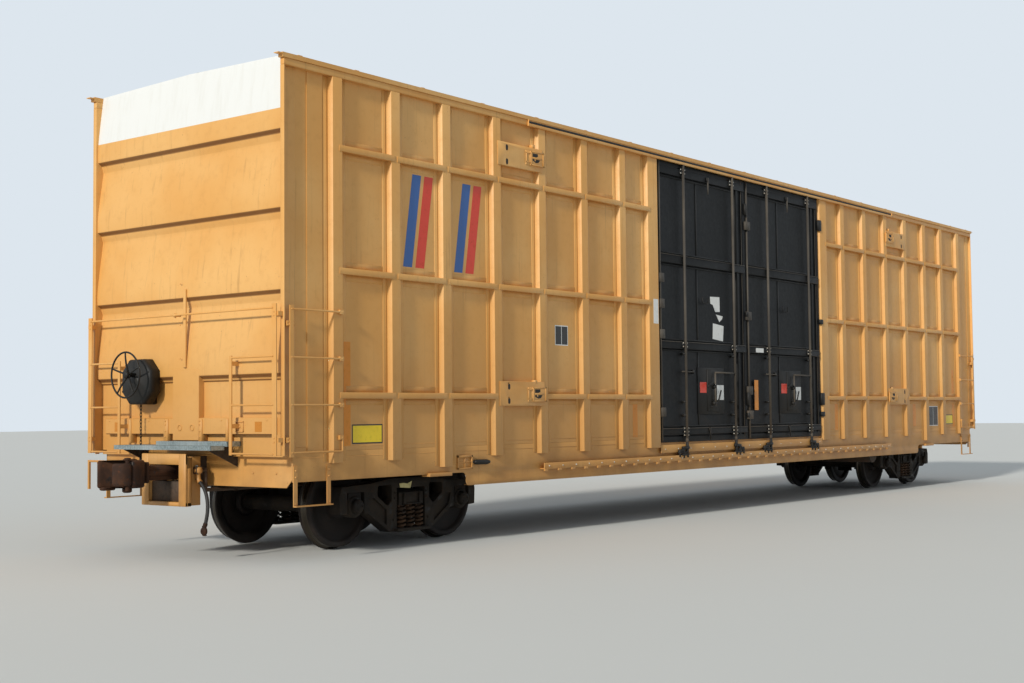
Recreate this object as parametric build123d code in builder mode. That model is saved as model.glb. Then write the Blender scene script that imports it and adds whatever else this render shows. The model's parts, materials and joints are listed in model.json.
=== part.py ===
from build123d import *
import os
from math import cos, pi, radians, sin, tan

os.makedirs("parts", exist_ok=True)

# A sixty-foot outside-post boxcar with two plug doors on each side, empty, standing on its wheels.
# Millimetres. X runs along the car with the hand brake end at -X, Y across it, Z up.
# The origin is under the middle of the car, at the height of the lowest point of the flanges.

# Running gear
flange_height = 28.0
tread_radius = 457.2
axle_height = flange_height + tread_radius
wheelbase = 1778.0
truck_centre = 7048.5
back_to_back = 1356.0
rim_width = 145.0
rim_depth = 62.0
axle_radius = 88.0
journal_radius = 79.0
journal_end = 1125.0
hub_radius = 138.0
running_clearance = 0.1

# Body
inside_half_length = 9258.0
inside_half_width = 1448.0
sheet_face = 1535.0
post_face = 1591.0
roof_edge = 1604.0
floor_top = 1118.0
floor_thickness = 50.0
chord_bottom = 5010.0
chord_top = 5080.0
eave_top = 5143.0
roof_rise = 67.0
roof_peak = eave_top + roof_rise
end_top_side = eave_top - 3.0
end_top_middle = end_top_side + 32.0
end_panel = 92.0
end_plane = inside_half_length + end_panel
body_half_length = end_plane + 100.0
sill_half_length = end_plane - 60.0
sill_bottom_ends = 814.0
sill_bottom_middle = 662.0
sill_deep_half = 6606.0
sill_web = 10.0
floor_bottom = floor_top - floor_thickness

# Posts and ribs of the sides
post_width = 137.0
post_flank = 27.0
post_skin = 8.0
post_bottom = 992.0
bolster_post_bottom = 890.0
door_post_width = 240.0
first_post = 3378.0
last_post = end_plane - 650.0
post_shares = (0.0, 0.1663, 0.3358, 0.503, 0.675, 0.8339, 1.0)
post_places = [round(first_post + share * (last_post - first_post)) for share in post_shares]
bolster_post = post_places[4]
rib_heights = (1688.0, 2985.0, 4271.0)
rib_tall = 66.0
rib_lap = 48.0
rib_gauge = 6.0
plate_lap = 60.0
plate_gauge = 8.0
stop_bay = post_places[2]

# Doors
door_width = 2446.0
door_gap = 6.0
door_lap = 30.0
door_side_clearance = 9.0
door_edge = door_gap + door_width + door_lap
door_post_place = door_edge + door_side_clearance + post_flank + door_post_width / 2
door_bottom = 1058.0
door_top = 5006.0
door_frame_proud = 28.0
door_beam_proud = 42.0
door_rod_radius = 19.0
door_rod_face = 1600.0
door_rods = (595.0, 1995.0)
track_bottom = 5000.0
rod_foot = 880.0

# Centre sill, bolsters and couplers
sill_half_width = 165.0
sill_plate = 14.0
sill_top = floor_bottom
sill_low = 738.0
coupler_height = flange_height + 876.0
coupler_pivot = sill_half_length - 140.0
striker_face = sill_half_length + 270.0
pulling_face = striker_face + 740.0
shank_end = pulling_face - 310.0
shank_half_width = 65.0
shank_half_height = 75.0
bowl_floor = 670.0
centre_plate_radius = 175.0
bowl_clearance = 6.0
side_bearing_place = 635.0
side_bearing_gap = 6.0

# Train pipe, which crosses under the centre sill and rises to an angle cock at each end
pipe_radius = 21.0
pipe_place = 330.0
pipe_crossing = 600.0
pipe_end = end_plane + 50.0
cock_place = end_plane + 150.0
cock_height = 925.0
nozzle_radius = 24.0
nozzle_height = 830.0

# Trucks
frame_inner = 925.0
frame_outer = 1080.0
frame_bottom = 165.0
frame_top = 765.0
spring_seat = 200.0
spring_height = 260.0
spring_radius = 66.0
bearing_radius = 125.0
adapter_top = 635.0
jaw_half = 132.0
window_half = 235.0
bolster_half = 200.0

ends = (-1, 1)
sides = (-1, 1)

# Wheels: flange, coned tread, rim, dished plate and hub, two to each axle
back = back_to_back / 2
front = back + rim_width
flange_radius = tread_radius + flange_height
wheel_outline = [
    (axle_radius, back),
    (flange_radius, back),
    (flange_radius, back + 28),
    (tread_radius, back + 28),
    (tread_radius, front),
    (tread_radius - rim_depth, front),
    (tread_radius - rim_depth, back + 60),
    (hub_radius, back + 60),
    (hub_radius, front + 12),
    (axle_radius, front + 12),
]
axle_outline = [
    (0, 0),
    (axle_radius, 0),
    (axle_radius, frame_inner - 8),
    (journal_radius, frame_inner - 8),
    (journal_radius, journal_end),
    (0, journal_end),
]
axle_places = [end * truck_centre + half * wheelbase / 2 for end in ends for half in ends]
for number, place in enumerate(axle_places, start=1):
    turning = Axis((place, 0, axle_height), (0, 1, 0))
    across = Plane(origin=(place, 0, axle_height), x_dir=(0, 0, 1), z_dir=(-1, 0, 0))
    with BuildPart() as wheels:
        with BuildSketch(across):
            with BuildLine():
                Polyline(wheel_outline, close=True)
            make_face()
        revolve(axis=turning)
        mirror(about=Plane.XZ)
    wheels.part.label = f"wheels_{number}"
    export_step(wheels.part, f"parts/wheels_{number}.step")

    with BuildPart() as axle:
        with BuildSketch(across):
            with BuildLine():
                Polyline(axle_outline, close=True)
            make_face()
        revolve(axis=turning)
        mirror(about=Plane.XZ)
    axle.part.label = f"axle_{number}"
    export_step(axle.part, f"parts/axle_{number}.step")

# Trucks: two cast side frames, a bolster on two spring nests, bearings and brake beams
pedestal = wheelbase / 2
frame_outline = [
    (0, frame_bottom),
    (345, frame_bottom),
    (690, 392),
    (pedestal - jaw_half, 400),
    (pedestal - jaw_half, adapter_top),
    (pedestal + jaw_half, adapter_top),
    (pedestal + jaw_half, 400),
    (pedestal + jaw_half + 110, 408),
    (pedestal + jaw_half + 118, 600),
    (pedestal + jaw_half + 80, 700),
    (640, 722),
    (330, frame_top),
    (0, frame_top),
]
side_window = [(316, 698), (316, 520), (378, 458), (545, 575), (545, 690)]
web_pocket = [(400, 250), (660, 425), (700, 560), (600, 560), (400, 420)]
frame_mid = (frame_inner + frame_outer) / 2
for letter, end in (("b", -1), ("a", 1)):
    place = end * truck_centre
    with BuildPart() as side_frames:
        with BuildSketch(Plane.XZ.offset(frame_inner).move(Location((place, 0, 0)))) as profile:
            with BuildLine():
                Polyline(frame_outline, close=True)
            make_face()
            with BuildLine():
                Polyline(side_window, close=True)
            make_face(mode=Mode.SUBTRACT)
            inner_corners = profile.vertices().filter_by(lambda v: 300 < v.X < 560 and 450 < v.Y < 705)
            fillet(inner_corners, radius=28)
            mirror(about=Plane.YZ)
            with Locations((0, (spring_seat + 655) / 2)):
                Rectangle(2 * window_half, 655 - spring_seat, mode=Mode.SUBTRACT)
        extrude(amount=frame_outer - frame_inner)
        with BuildSketch(Plane.XZ.offset(frame_outer - 28).move(Location((place, 0, 0)))):
            with BuildLine():
                Polyline(web_pocket, close=True)
            make_face()
            mirror(about=Plane.YZ)
        extrude(amount=28, mode=Mode.SUBTRACT)
        with Locations((place, -frame_mid, (frame_bottom + spring_seat) / 2)):
            Box(2 * window_half + 90, 270, spring_seat - frame_bottom)
        mirror(about=Plane.XZ)
    side_frames.part.label = f"side_frames_{letter}"
    export_step(side_frames.part, f"parts/side_frames_{letter}.step")

    with BuildPart() as truck_bolster:
        with BuildSketch(Plane.YZ.offset(place - bolster_half)):
            Polygon(
                (-1085, spring_seat + spring_height),
                (-820, spring_seat + spring_height),
                (-420, 400),
                (420, 400),
                (820, spring_seat + spring_height),
                (1085, spring_seat + spring_height),
                (1085, 600),
                (800, 655),
                (-800, 655),
                (-1085, 600),
                align=None,
            )
        extrude(amount=2 * bolster_half)
        with Locations((place, 0, 655)):
            Cylinder(
                centre_plate_radius + bowl_clearance + 24, 35, align=(Align.CENTER, Align.CENTER, Align.MIN)
            )
        with Locations((place, 0, bowl_floor)):
            Cylinder(
                centre_plate_radius + bowl_clearance,
                40,
                align=(Align.CENTER, Align.CENTER, Align.MIN),
                mode=Mode.SUBTRACT,
            )
        with Locations((place, -side_bearing_place, 655), (place, side_bearing_place, 655)):
            Box(260, 110, 85, align=(Align.CENTER, Align.CENTER, Align.MIN))
    truck_bolster.part.label = f"truck_bolster_{letter}"
    export_step(truck_bolster.part, f"parts/truck_bolster_{letter}.step")

    nest = [(-145, 47), (0, 47), (145, 47), (-75, -88), (75, -88)]
    with BuildPart() as springs:
        for side in sides:
            for along, out in nest:
                with Locations((place + along, side * (frame_mid + out), spring_seat)):
                    Cylinder(spring_radius, spring_height, align=(Align.CENTER, Align.CENTER, Align.MIN))
    springs.part.label = f"springs_{letter}"
    export_step(springs.part, f"parts/springs_{letter}.step")

    with BuildPart() as bearings:
        for half in ends:
            journal = place + half * wheelbase / 2
            turned = Plane(origin=(journal, 935, axle_height), x_dir=(1, 0, 0), z_dir=(0, 1, 0))
            with BuildSketch(turned):
                Circle(bearing_radius)
                with Locations((0, -(adapter_top - axle_height) + 40)):
                    Rectangle(200, 80)
                Circle(journal_radius + running_clearance, mode=Mode.SUBTRACT)
            extrude(amount=130)
        mirror(about=Plane.XZ)
    bearings.part.label = f"bearings_{letter}"
    export_step(bearings.part, f"parts/bearings_{letter}.step")

    shoe_gap = 6.0
    shoe_inner = tread_radius + shoe_gap
    with BuildPart() as brake_beams:
        for half in ends:
            axle_x = place + half * wheelbase / 2
            beam_x = place + half * (wheelbase / 2 - shoe_inner - 80)
            with Locations((beam_x, 0, 400)):
                Box(50, 2 * frame_inner, 60)
            for side in sides:
                with BuildSketch(Plane.XZ.offset(-side * 756 + 40)):
                    with Locations((axle_x, axle_height)):
                        Circle(shoe_inner + 60)
                        Circle(shoe_inner, mode=Mode.SUBTRACT)
                    with Locations((axle_x - half * (shoe_inner + 30), 430)):
                        Rectangle(220, 300, mode=Mode.INTERSECT)
                extrude(amount=-80)
    brake_beams.part.label = f"brake_beams_{letter}"
    export_step(brake_beams.part, f"parts/brake_beams_{letter}.step")

# Centre sill: a deep hat section from striker to striker
with BuildPart() as centre_sill:
    with BuildSketch(Plane.YZ.offset(-striker_face + 120)):
        Polygon(
            (-sill_half_width - 45, sill_low),
            (-sill_half_width + sill_plate, sill_low),
            (-sill_half_width + sill_plate, sill_top - sill_plate),
            (sill_half_width - sill_plate, sill_top - sill_plate),
            (sill_half_width - sill_plate, sill_low),
            (sill_half_width + 45, sill_low),
            (sill_half_width + 45, sill_low + sill_plate),
            (sill_half_width, sill_low + sill_plate),
            (sill_half_width, sill_top),
            (-sill_half_width, sill_top),
            (-sill_half_width, sill_low + sill_plate),
            (-sill_half_width - 45, sill_low + sill_plate),
            align=None,
        )
    extrude(amount=2 * striker_face - 240)
centre_sill.part.label = "centre_sill"
export_step(centre_sill.part, "parts/centre_sill.step")

# Strikers: open frames at the ends of the draft sill, each with the carrier that the coupler rests on
striker_half = 300.0
striker_low = 560.0
pocket_half = 235.0
pocket_low = 620.0
pocket_top = 1000.0
striker_depth = 120.0
with BuildPart() as strikers:
    with BuildSketch(Plane.YZ.offset(striker_face - striker_depth)):
        with Locations((0, (striker_low + sill_top) / 2)):
            Rectangle(2 * striker_half, sill_top - striker_low)
        with Locations((0, (pocket_low + pocket_top) / 2)):
            Rectangle(2 * pocket_half, pocket_top - pocket_low, mode=Mode.SUBTRACT)
        with Locations((0, (pocket_low + coupler_height - shank_half_height) / 2)):
            Rectangle(220, coupler_height - shank_half_height - pocket_low)
    extrude(amount=striker_depth)
    mirror(about=Plane.YZ)
strikers.part.label = "strikers"
export_step(strikers.part, "parts/strikers.step")

# Couplers: shank, head with its guard arm, and a separate knuckle on its pin
head_outline = [
    (pulling_face - 340, -66),
    (pulling_face - 270, -150),
    (pulling_face - 120, -205),
    (pulling_face + 60, -222),
    (pulling_face + 48, -176),
    (pulling_face - 75, -126),
    (pulling_face - 150, -50),
    (pulling_face - 142, 40),
    (pulling_face - 110, 70),
    (pulling_face - 100, 170),
    (pulling_face - 230, 158),
    (pulling_face - 340, 66),
]
knuckle_outline = [
    (pulling_face - 110, 70),
    (pulling_face - 100, 170),
    (pulling_face - 50, 176),
    (pulling_face + 24, 130),
    (pulling_face + 38, 30),
    (pulling_face + 6, -14),
    (pulling_face - 38, 0),
    (pulling_face - 48, 54),
]
for letter, end in (("b", -1), ("a", 1)):
    with BuildPart() as coupler:
        with BuildSketch(Plane.XY.offset(coupler_height - shank_half_height)):
            with Locations(((coupler_pivot + shank_end) / 2, 0)):
                Rectangle(shank_end - coupler_pivot, 2 * shank_half_width)
            with Locations((coupler_pivot, 0)):
                Circle(shank_half_width + 12)
        extrude(amount=2 * shank_half_height)
        with BuildSketch(Plane.XY.offset(coupler_height - 140)) as head:
            with BuildLine():
                Polyline(head_outline, close=True)
            make_face()
            fillet(head.vertices().filter_by(lambda v: v.X > pulling_face - 200 and v.Y < 60), radius=14)
        extrude(amount=280)
    with BuildPart() as knuckle:
        with BuildSketch(Plane.XY.offset(coupler_height - 115)) as jaw:
            with BuildLine():
                Polyline(knuckle_outline, close=True)
            make_face()
            fillet(jaw.vertices().filter_by(lambda v: v.X > pulling_face - 44), radius=16)
        extrude(amount=230)
    facing = 0 if end > 0 else 180
    for name, piece in ((f"coupler_{letter}", coupler), (f"knuckle_{letter}", knuckle)):
        placed = piece.part.rotate(Axis.Z, facing)
        placed.label = name
        export_step(placed, f"parts/{name}.step")

# Body bolsters with their centre plates and side bearing plates
bolster_low = sill_low + 20
with BuildPart() as body_bolsters:
    for side in sides:
        with BuildSketch(Plane.YZ.offset(truck_centre - 210)):
            with BuildLine():
                Polyline(
                    (side * sill_half_width, bolster_low),
                    (side * 450, bolster_low),
                    (side * (sheet_face - sill_web), 905),
                    (side * (sheet_face - sill_web), floor_bottom),
                    (side * sill_half_width, floor_bottom),
                    close=True,
                )
            make_face()
        extrude(amount=420)
        with Locations((truck_centre, side * side_bearing_place, 655 + 85 + side_bearing_gap)):
            Box(280, 130, 60, align=(Align.CENTER, Align.CENTER, Align.MIN))
    with Locations((truck_centre, 0, bowl_floor)):
        Cylinder(centre_plate_radius, sill_low - bowl_floor, align=(Align.CENTER, Align.CENTER, Align.MIN))
    with Locations((truck_centre, 0, sill_low)):
        Box(420, 2 * (sill_half_width - sill_plate), 60, align=(Align.CENTER, Align.CENTER, Align.MIN))
    mirror(about=Plane.YZ)
body_bolsters.part.label = "body_bolsters"
export_step(body_bolsters.part, "parts/body_bolsters.step")

# Crossbearers: tapered webs with a bottom flange, from the centre sill to the side sills
bearer_places = (0, 1400, 2800, 4200, 5600)
with BuildPart() as crossbearers:
    for bearer in bearer_places:
        with BuildSketch(Plane.YZ.offset(bearer - 7)):
            with BuildLine():
                Polyline(
                    (sill_half_width, 770),
                    (1150, 770),
                    (sheet_face - sill_web, 850),
                    (sheet_face - sill_web, floor_bottom),
                    (sill_half_width, floor_bottom),
                    close=True,
                )
            make_face()
        extrude(amount=14)
        with Locations((bearer, (sill_half_width + 1150) / 2, 764)):
            Box(120, 1150 - sill_half_width, 12)
    mirror(about=Plane.XZ)
    mirror(about=Plane.YZ)
crossbearers.part.label = "crossbearers"
export_step(crossbearers.part, "parts/crossbearers.step")

# Floor and end sills
with BuildPart() as floor:
    with Locations((0, 0, floor_bottom)):
        Box(
            2 * inside_half_length,
            2 * (sheet_face - sill_web),
            floor_thickness,
            align=(Align.CENTER, Align.CENTER, Align.MIN),
        )
floor.part.label = "floor"
export_step(floor.part, "parts/floor.step")

end_sill_low = 756.0
with BuildPart() as end_sills:
    for side in sides:
        with BuildSketch(Plane.YZ.offset(sill_half_length - 12)):
            with BuildLine():
                Polyline(
                    (side * (sill_half_width + 45), end_sill_low),
                    (side * (sheet_face - 90), end_sill_low),
                    (side * (sheet_face - sill_web), end_sill_low + 80),
                    (side * (sheet_face - sill_web), floor_bottom),
                    (side * (sill_half_width + 45), floor_bottom),
                    close=True,
                )
            make_face()
        extrude(amount=12)
        with BuildSketch(Plane.XY.offset(floor_bottom)):
            with Locations((inside_half_length + end_panel / 2, side * (sheet_face - sill_web) / 2)):
                Rectangle(end_panel, sheet_face - sill_web)
        extrude(amount=20)
    mirror(about=Plane.YZ)
end_sills.part.label = "end_sills"
export_step(end_sills.part, "parts/end_sills.step")

# Side sills: deep between the trucks, shallow over them
with BuildPart() as side_sills:
    with BuildSketch(Plane.XZ.offset(sheet_face - sill_web)) as sill_face:
        with BuildLine():
            Polyline(
                (-sill_half_length, floor_top),
                (-sill_half_length, sill_bottom_ends),
                (-sill_deep_half, sill_bottom_ends),
                (-sill_deep_half, sill_bottom_middle),
                (sill_deep_half, sill_bottom_middle),
                (sill_deep_half, sill_bottom_ends),
                (sill_half_length, sill_bottom_ends),
                (sill_half_length, floor_top),
                close=True,
            )
        make_face()
        steps = sill_face.vertices().filter_by(lambda v: abs(abs(v.X) - sill_deep_half) < 1)
        fillet(steps, radius=60)
    extrude(amount=sill_web)
    shallow_length = sill_half_length - sill_deep_half - 90
    shallow_middle = sill_deep_half + 70 + shallow_length / 2
    flange_rows = (
        # middle, length, height
        (0, 2 * sill_deep_half - 140, sill_bottom_middle),
        (-shallow_middle, shallow_length, sill_bottom_ends),
        (shallow_middle, shallow_length, sill_bottom_ends),
    )
    for middle, length, height in flange_rows:
        with Locations((middle, -(sheet_face - sill_web), height)):
            Box(length, 85, sill_web, align=(Align.CENTER, Align.MIN, Align.MIN))
    mirror(about=Plane.XZ)
side_sills.part.label = "side_sills"
export_step(side_sills.part, "parts/side_sills.step")

# Side walls: sheet and lining in one thickness, from the corners to the door opening
wall_thickness = sheet_face - inside_half_width
door_opening_half = door_width + 2 * door_gap
strip_start = last_post + 180
strip_width = 215.0
strip_proud = 8.0
with BuildPart() as side_sheets:
    with Locations((strip_start, -sheet_face, floor_top)):
        Box(strip_width, strip_proud, chord_bottom - floor_top, align=(Align.MIN, Align.MAX, Align.MIN))
    with Locations(((door_opening_half + inside_half_length) / 2, -sheet_face, floor_top)):
        Box(
            inside_half_length - door_opening_half,
            wall_thickness,
            chord_bottom - floor_top,
            align=(Align.CENTER, Align.MIN, Align.MIN),
        )
    mirror(about=Plane.YZ)
    mirror(about=Plane.XZ)
side_sheets.part.label = "side_sheets"
export_step(side_sheets.part, "parts/side_sheets.step")

# Posts: pressed hat sections standing on the sheets, and wider ones beside the doors

def hat_outline(middle, width):
    half = width / 2
    inner = half - post_skin
    return [
        (middle - half - post_flank, -sheet_face),
        (middle - half, -post_face),
        (middle + half, -post_face),
        (middle + half + post_flank, -sheet_face),
        (middle + inner + post_flank, -sheet_face),
        (middle + inner, -post_face + post_skin),
        (middle - inner, -post_face + post_skin),
        (middle - inner - post_flank, -sheet_face),
    ]


with BuildPart() as side_posts:
    for place in post_places:
        bottom = bolster_post_bottom if place == bolster_post else post_bottom
        with BuildSketch(Plane.XY.offset(bottom)):
            with BuildLine():
                Polyline(hat_outline(place, post_width), close=True)
            make_face()
        extrude(amount=chord_bottom - bottom)
    mirror(about=Plane.YZ)
    mirror(about=Plane.XZ)
side_posts.part.label = "side_posts"
export_step(side_posts.part, "parts/side_posts.step")

with BuildPart() as door_posts:
    with BuildSketch(Plane.XY.offset(post_bottom)):
        with BuildLine():
            Polyline(hat_outline(door_post_place, door_post_width), close=True)
        make_face()
    extrude(amount=chord_bottom - post_bottom)
    mirror(about=Plane.YZ)
    mirror(about=Plane.XZ)
door_posts.part.label = "door_posts"
export_step(door_posts.part, "parts/door_posts.step")

# Ribs: pressed bars that fill the depth between two posts and lap onto their faces
rib_rows = [(door_post_place, door_post_width)] + [(place, post_width) for place in post_places]


def bay_outline(start, stop, lap, gauge):
    return [
        (start, -sheet_face),
        (start - post_flank, -post_face),
        (start - post_flank - lap, -post_face),
        (start - post_flank - lap, -post_face - gauge),
        (stop + post_flank + lap, -post_face - gauge),
        (stop + post_flank + lap, -post_face),
        (stop + post_flank, -post_face),
        (stop, -sheet_face),
    ]


with BuildPart() as side_ribs:
    for (left, left_width), (right, right_width) in zip(rib_rows[:-1], rib_rows[1:]):
        start = left + left_width / 2 + post_flank
        stop = right - right_width / 2 - post_flank
        for height in rib_heights:
            if left == stop_bay and height == rib_heights[0]:
                continue
            with BuildSketch(Plane.XY.offset(height - rib_tall / 2)):
                with BuildLine():
                    Polyline(bay_outline(start, stop, rib_lap, rib_gauge), close=True)
                make_face()
            extrude(amount=rib_tall)
    mirror(about=Plane.YZ)
    mirror(about=Plane.XZ)
side_ribs.part.label = "side_ribs"
export_step(side_ribs.part, "parts/side_ribs.step")

# Corner posts: angles that stand out past the end walls, and the top chords along the sides
corner_bottom = 1084.0
corner_gauge = 8.0
corner_flange = 12.0
with BuildPart() as corner_posts:
    with Locations((inside_half_length, -sheet_face, corner_bottom)):
        Box(
            body_half_length - inside_half_length,
            corner_gauge,
            chord_bottom - corner_bottom,
            align=(Align.MIN, Align.MAX, Align.MIN),
        )
    with Locations((body_half_length, -sheet_face, corner_bottom)):
        Box(
            corner_flange,
            post_face - sheet_face,
            chord_bottom - corner_bottom,
            align=(Align.MAX, Align.MAX, Align.MIN),
        )
    mirror(about=Plane.YZ)
    mirror(about=Plane.XZ)
corner_posts.part.label = "corner_posts"
export_step(corner_posts.part, "parts/corner_posts.step")

chord_rows = (
    # half length, inner face
    (inside_half_length, inside_half_width),
    (body_half_length, sheet_face),
)
with BuildPart() as top_chords:
    for half_length, inner_face in chord_rows:
        with Locations((0, -post_face, chord_bottom)):
            Box(
                2 * half_length,
                post_face - inner_face,
                chord_top - chord_bottom,
                align=(Align.CENTER, Align.MIN, Align.MIN),
            )
    mirror(about=Plane.XZ)
top_chords.part.label = "top_chords"
export_step(top_chords.part, "parts/top_chords.step")

# End walls: stepped corrugations that slope out and turn back in, under a low gable
end_proud = 75.0
end_bottom = 1088.0
beam_proud = 70.0
eye_plate_proud = 78.0
end_steps = (
    # crest_top, crest_bottom, foot
    (4590.0, 4372.0, 4266.0),
    (3768.0, 3572.0, 3470.0),
    (2923.0, 2745.0, 2642.0),
    (2080.0, 1907.0, 1840.0),
)
end_outline = [
    (inside_half_length, end_bottom),
    (inside_half_length, end_top_middle),
    (end_plane, end_top_middle),
]
crest_plane = end_plane + end_proud
for crest_top, crest_bottom, foot in end_steps:
    end_outline += [(crest_plane, crest_top), (crest_plane, crest_bottom), (end_plane, foot)]
end_outline += [(end_plane, end_bottom)]
for letter, end in (("b", -1), ("a", 1)):
    with BuildPart() as end_wall:
        with BuildSketch(Plane.XZ.offset(-sheet_face)):
            with BuildLine():
                Polyline([(end * x, z) for x, z in end_outline], close=True)
            make_face()
        extrude(amount=2 * sheet_face)
        with BuildSketch(Plane.YZ.offset(end * (inside_half_length + end_panel / 2) - end_panel)):
            Polygon(
                (-sheet_face, end_top_side),
                (0, end_top_middle),
                (sheet_face, end_top_side),
                (sheet_face, roof_peak),
                (-sheet_face, roof_peak),
                align=None,
            )
            for side in sides:
                notch_place = side * (inside_half_width + sheet_face) / 2
                with Locations((notch_place, (end_bottom + floor_top) / 2)):
                    Rectangle(sheet_face - inside_half_width, floor_top - end_bottom)
        extrude(amount=2 * end_panel, mode=Mode.SUBTRACT)
        with Locations((end * (end_plane + beam_proud / 2), 0, 1382)):
            Box(beam_proud, 2760, 176)
        with Locations((end * (end_plane + eye_plate_proud / 2), end * 32, 1608)):
            Box(eye_plate_proud, 430, 760)
        with Locations((end * (end_plane + end_proud + 10), end * 32, 2420)):
            Box(20, 40, 836)
    end_wall.part.label = f"end_wall_{letter}"
    export_step(end_wall.part, f"parts/end_wall_{letter}.step")

# Roof: low peaked sheets on eave beams, with a raised batten over each seam
roof_skin = 40.0
batten = 15.0
batten_pitch = body_half_length / 9
batten_last = inside_half_length - 40
eave_end = body_half_length + 25
flashing = 60.0
batten_places = [k * batten_pitch for k in range(-8, 9)] + [-batten_last, batten_last]
peak = roof_peak - batten
with BuildPart() as roof:
    with BuildSketch(Plane.YZ.offset(-eave_end)):
        with BuildLine():
            Polyline(
                (-roof_edge, chord_top),
                (-inside_half_width, chord_top),
                (-inside_half_width, eave_top - roof_skin),
                (0, peak - roof_skin),
                (inside_half_width, eave_top - roof_skin),
                (inside_half_width, chord_top),
                (roof_edge, chord_top),
                (roof_edge, eave_top - batten),
                (0, peak),
                (-roof_edge, eave_top - batten),
                close=True,
            )
        make_face()
    extrude(amount=2 * eave_end)
    for seam in batten_places:
        with BuildSketch(Plane.YZ.offset(seam - 30)):
            Polygon(
                (-roof_edge + 20, eave_top - batten - 10),
                (0, peak - 10),
                (roof_edge - 20, eave_top - batten - 10),
                (roof_edge - 20, eave_top - 2),
                (0, roof_peak),
                (-roof_edge + 20, eave_top - 2),
                align=None,
            )
        extrude(amount=60)
    for end in ends:
        with Locations((end * inside_half_length, 0, (chord_top + roof_peak) / 2)):
            Box(
                eave_end,
                2 * sheet_face,
                roof_peak - chord_top + 2,
                align=(Align.MIN if end > 0 else Align.MAX, Align.CENTER, Align.CENTER),
                mode=Mode.SUBTRACT,
            )
        for side in sides:
            eave_middle = side * (sheet_face + roof_edge) / 2
            with Locations((end * (eave_end + flashing / 2), eave_middle, eave_top - 28)):
                Box(flashing, roof_edge - sheet_face, 8)
roof.part.label = "roof"
export_step(roof.part, "parts/roof.step")

# Plug doors: a plug that fills the wall, and a framed outer face that laps the wall around it
frame_bar = 80.0
beam_rows = (
    # height, tall
    (1208.0, 100.0),
    (2423.0, 112.0),
    (3636.0, 130.0),
    (4880.0, 110.0),
)
door_rows = (
    # node, left edge, turned to the far side
    ("door_near_left", -door_width - door_gap, 0),
    ("door_near_right", door_gap, 0),
    ("door_far_left", -door_width - door_gap, 180),
    ("door_far_right", door_gap, 180),
)
outer_width = door_width + door_lap
outer_tall = door_top - door_bottom
window_tall = outer_tall - 2 * frame_bar
bar_tall = outer_tall - 100
for node, left, turn in door_rows:
    outer = left - door_lap if left < 0 else left
    middle = outer + outer_width / 2
    with BuildPart() as door:
        with Locations((left, -sheet_face, floor_top + 4)):
            Box(door_width, wall_thickness, chord_bottom - floor_top - 8, align=Align.MIN)
        with BuildSketch(Plane.XZ.offset(sheet_face)):
            with Locations((middle, (door_bottom + door_top) / 2)):
                Rectangle(outer_width, outer_tall)
                Rectangle(outer_width - 2 * frame_bar, window_tall, mode=Mode.SUBTRACT)
        extrude(amount=door_frame_proud)
        for height, tall in beam_rows:
            with Locations((middle, -sheet_face, height)):
                Box(outer_width - 60, door_beam_proud, tall, align=(Align.CENTER, Align.MAX, Align.CENTER))
        with Locations((outer + outer_width - 230, -sheet_face, (door_bottom + door_top) / 2)):
            Box(70, door_frame_proud, bar_tall, align=(Align.CENTER, Align.MAX, Align.CENTER))
    placed = door.part.rotate(Axis.Z, turn)
    placed.label = node
    export_step(placed, f"parts/{node}.step")

# Door locks: lock rods in their keepers, foot cranks, a short top bolt, and the gear case with its handle
keeper_face = door_rod_face - door_rod_radius
crank_long = 240.0
keeper_rows = (beam_rows[0], beam_rows[1], beam_rows[3])
beam_face = sheet_face + door_beam_proud
crank_top = rod_foot + 92
handle_offset = 1392.0
for label, turn in (("near", 0), ("far", 180)):
    with BuildPart() as door_locks:
        for left in (-door_width - door_gap - door_lap, door_gap):
            for rod in door_rods:
                rod_x = left + rod
                with Locations((rod_x, -door_rod_face, crank_top)):
                    Cylinder(
                        door_rod_radius, track_bottom - crank_top, align=(Align.CENTER, Align.CENTER, Align.MIN)
                    )
                with Locations((rod_x, -door_rod_face, rod_foot)):
                    Box(crank_long, 44, crank_top - rod_foot, align=(Align.CENTER, Align.CENTER, Align.MIN))
                for height, tall in keeper_rows:
                    with Locations((rod_x, -beam_face, height)):
                        Box(90, keeper_face - beam_face, 64, align=(Align.CENTER, Align.MAX, Align.CENTER))
            bolt_x = left + sum(door_rods) / 2
            with Locations((bolt_x, -beam_face, track_bottom)):
                Box(34, 34, 210, align=(Align.CENTER, Align.MAX, Align.MAX))
            with Locations((left + handle_offset, -sheet_face, 1790)):
                Box(300, 26, 620, align=(Align.CENTER, Align.MAX, Align.CENTER))
            with Locations((left + handle_offset, -sheet_face - 26, 1780)):
                Box(44, 44, 540, align=(Align.CENTER, Align.MAX, Align.CENTER))
            with Locations((left + handle_offset, -sheet_face - 46, 2050)):
                Box(door_rods[1] - handle_offset + 18, 22, 30, align=(Align.MIN, Align.MAX, Align.CENTER))
            with Locations((left + door_rods[0], -sheet_face, 2050)):
                Box(90, keeper_face - sheet_face, 40, align=(Align.CENTER, Align.MAX, Align.CENTER))
            with Locations((left + door_rods[1], -sheet_face, 2050)):
                Box(90, keeper_face - sheet_face, 40, align=(Align.CENTER, Align.MAX, Align.CENTER))
    placed = door_locks.part.rotate(Axis.Z, turn)
    placed.label = f"door_locks_{label}"
    export_step(placed, f"parts/door_locks_{label}.step")

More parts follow.
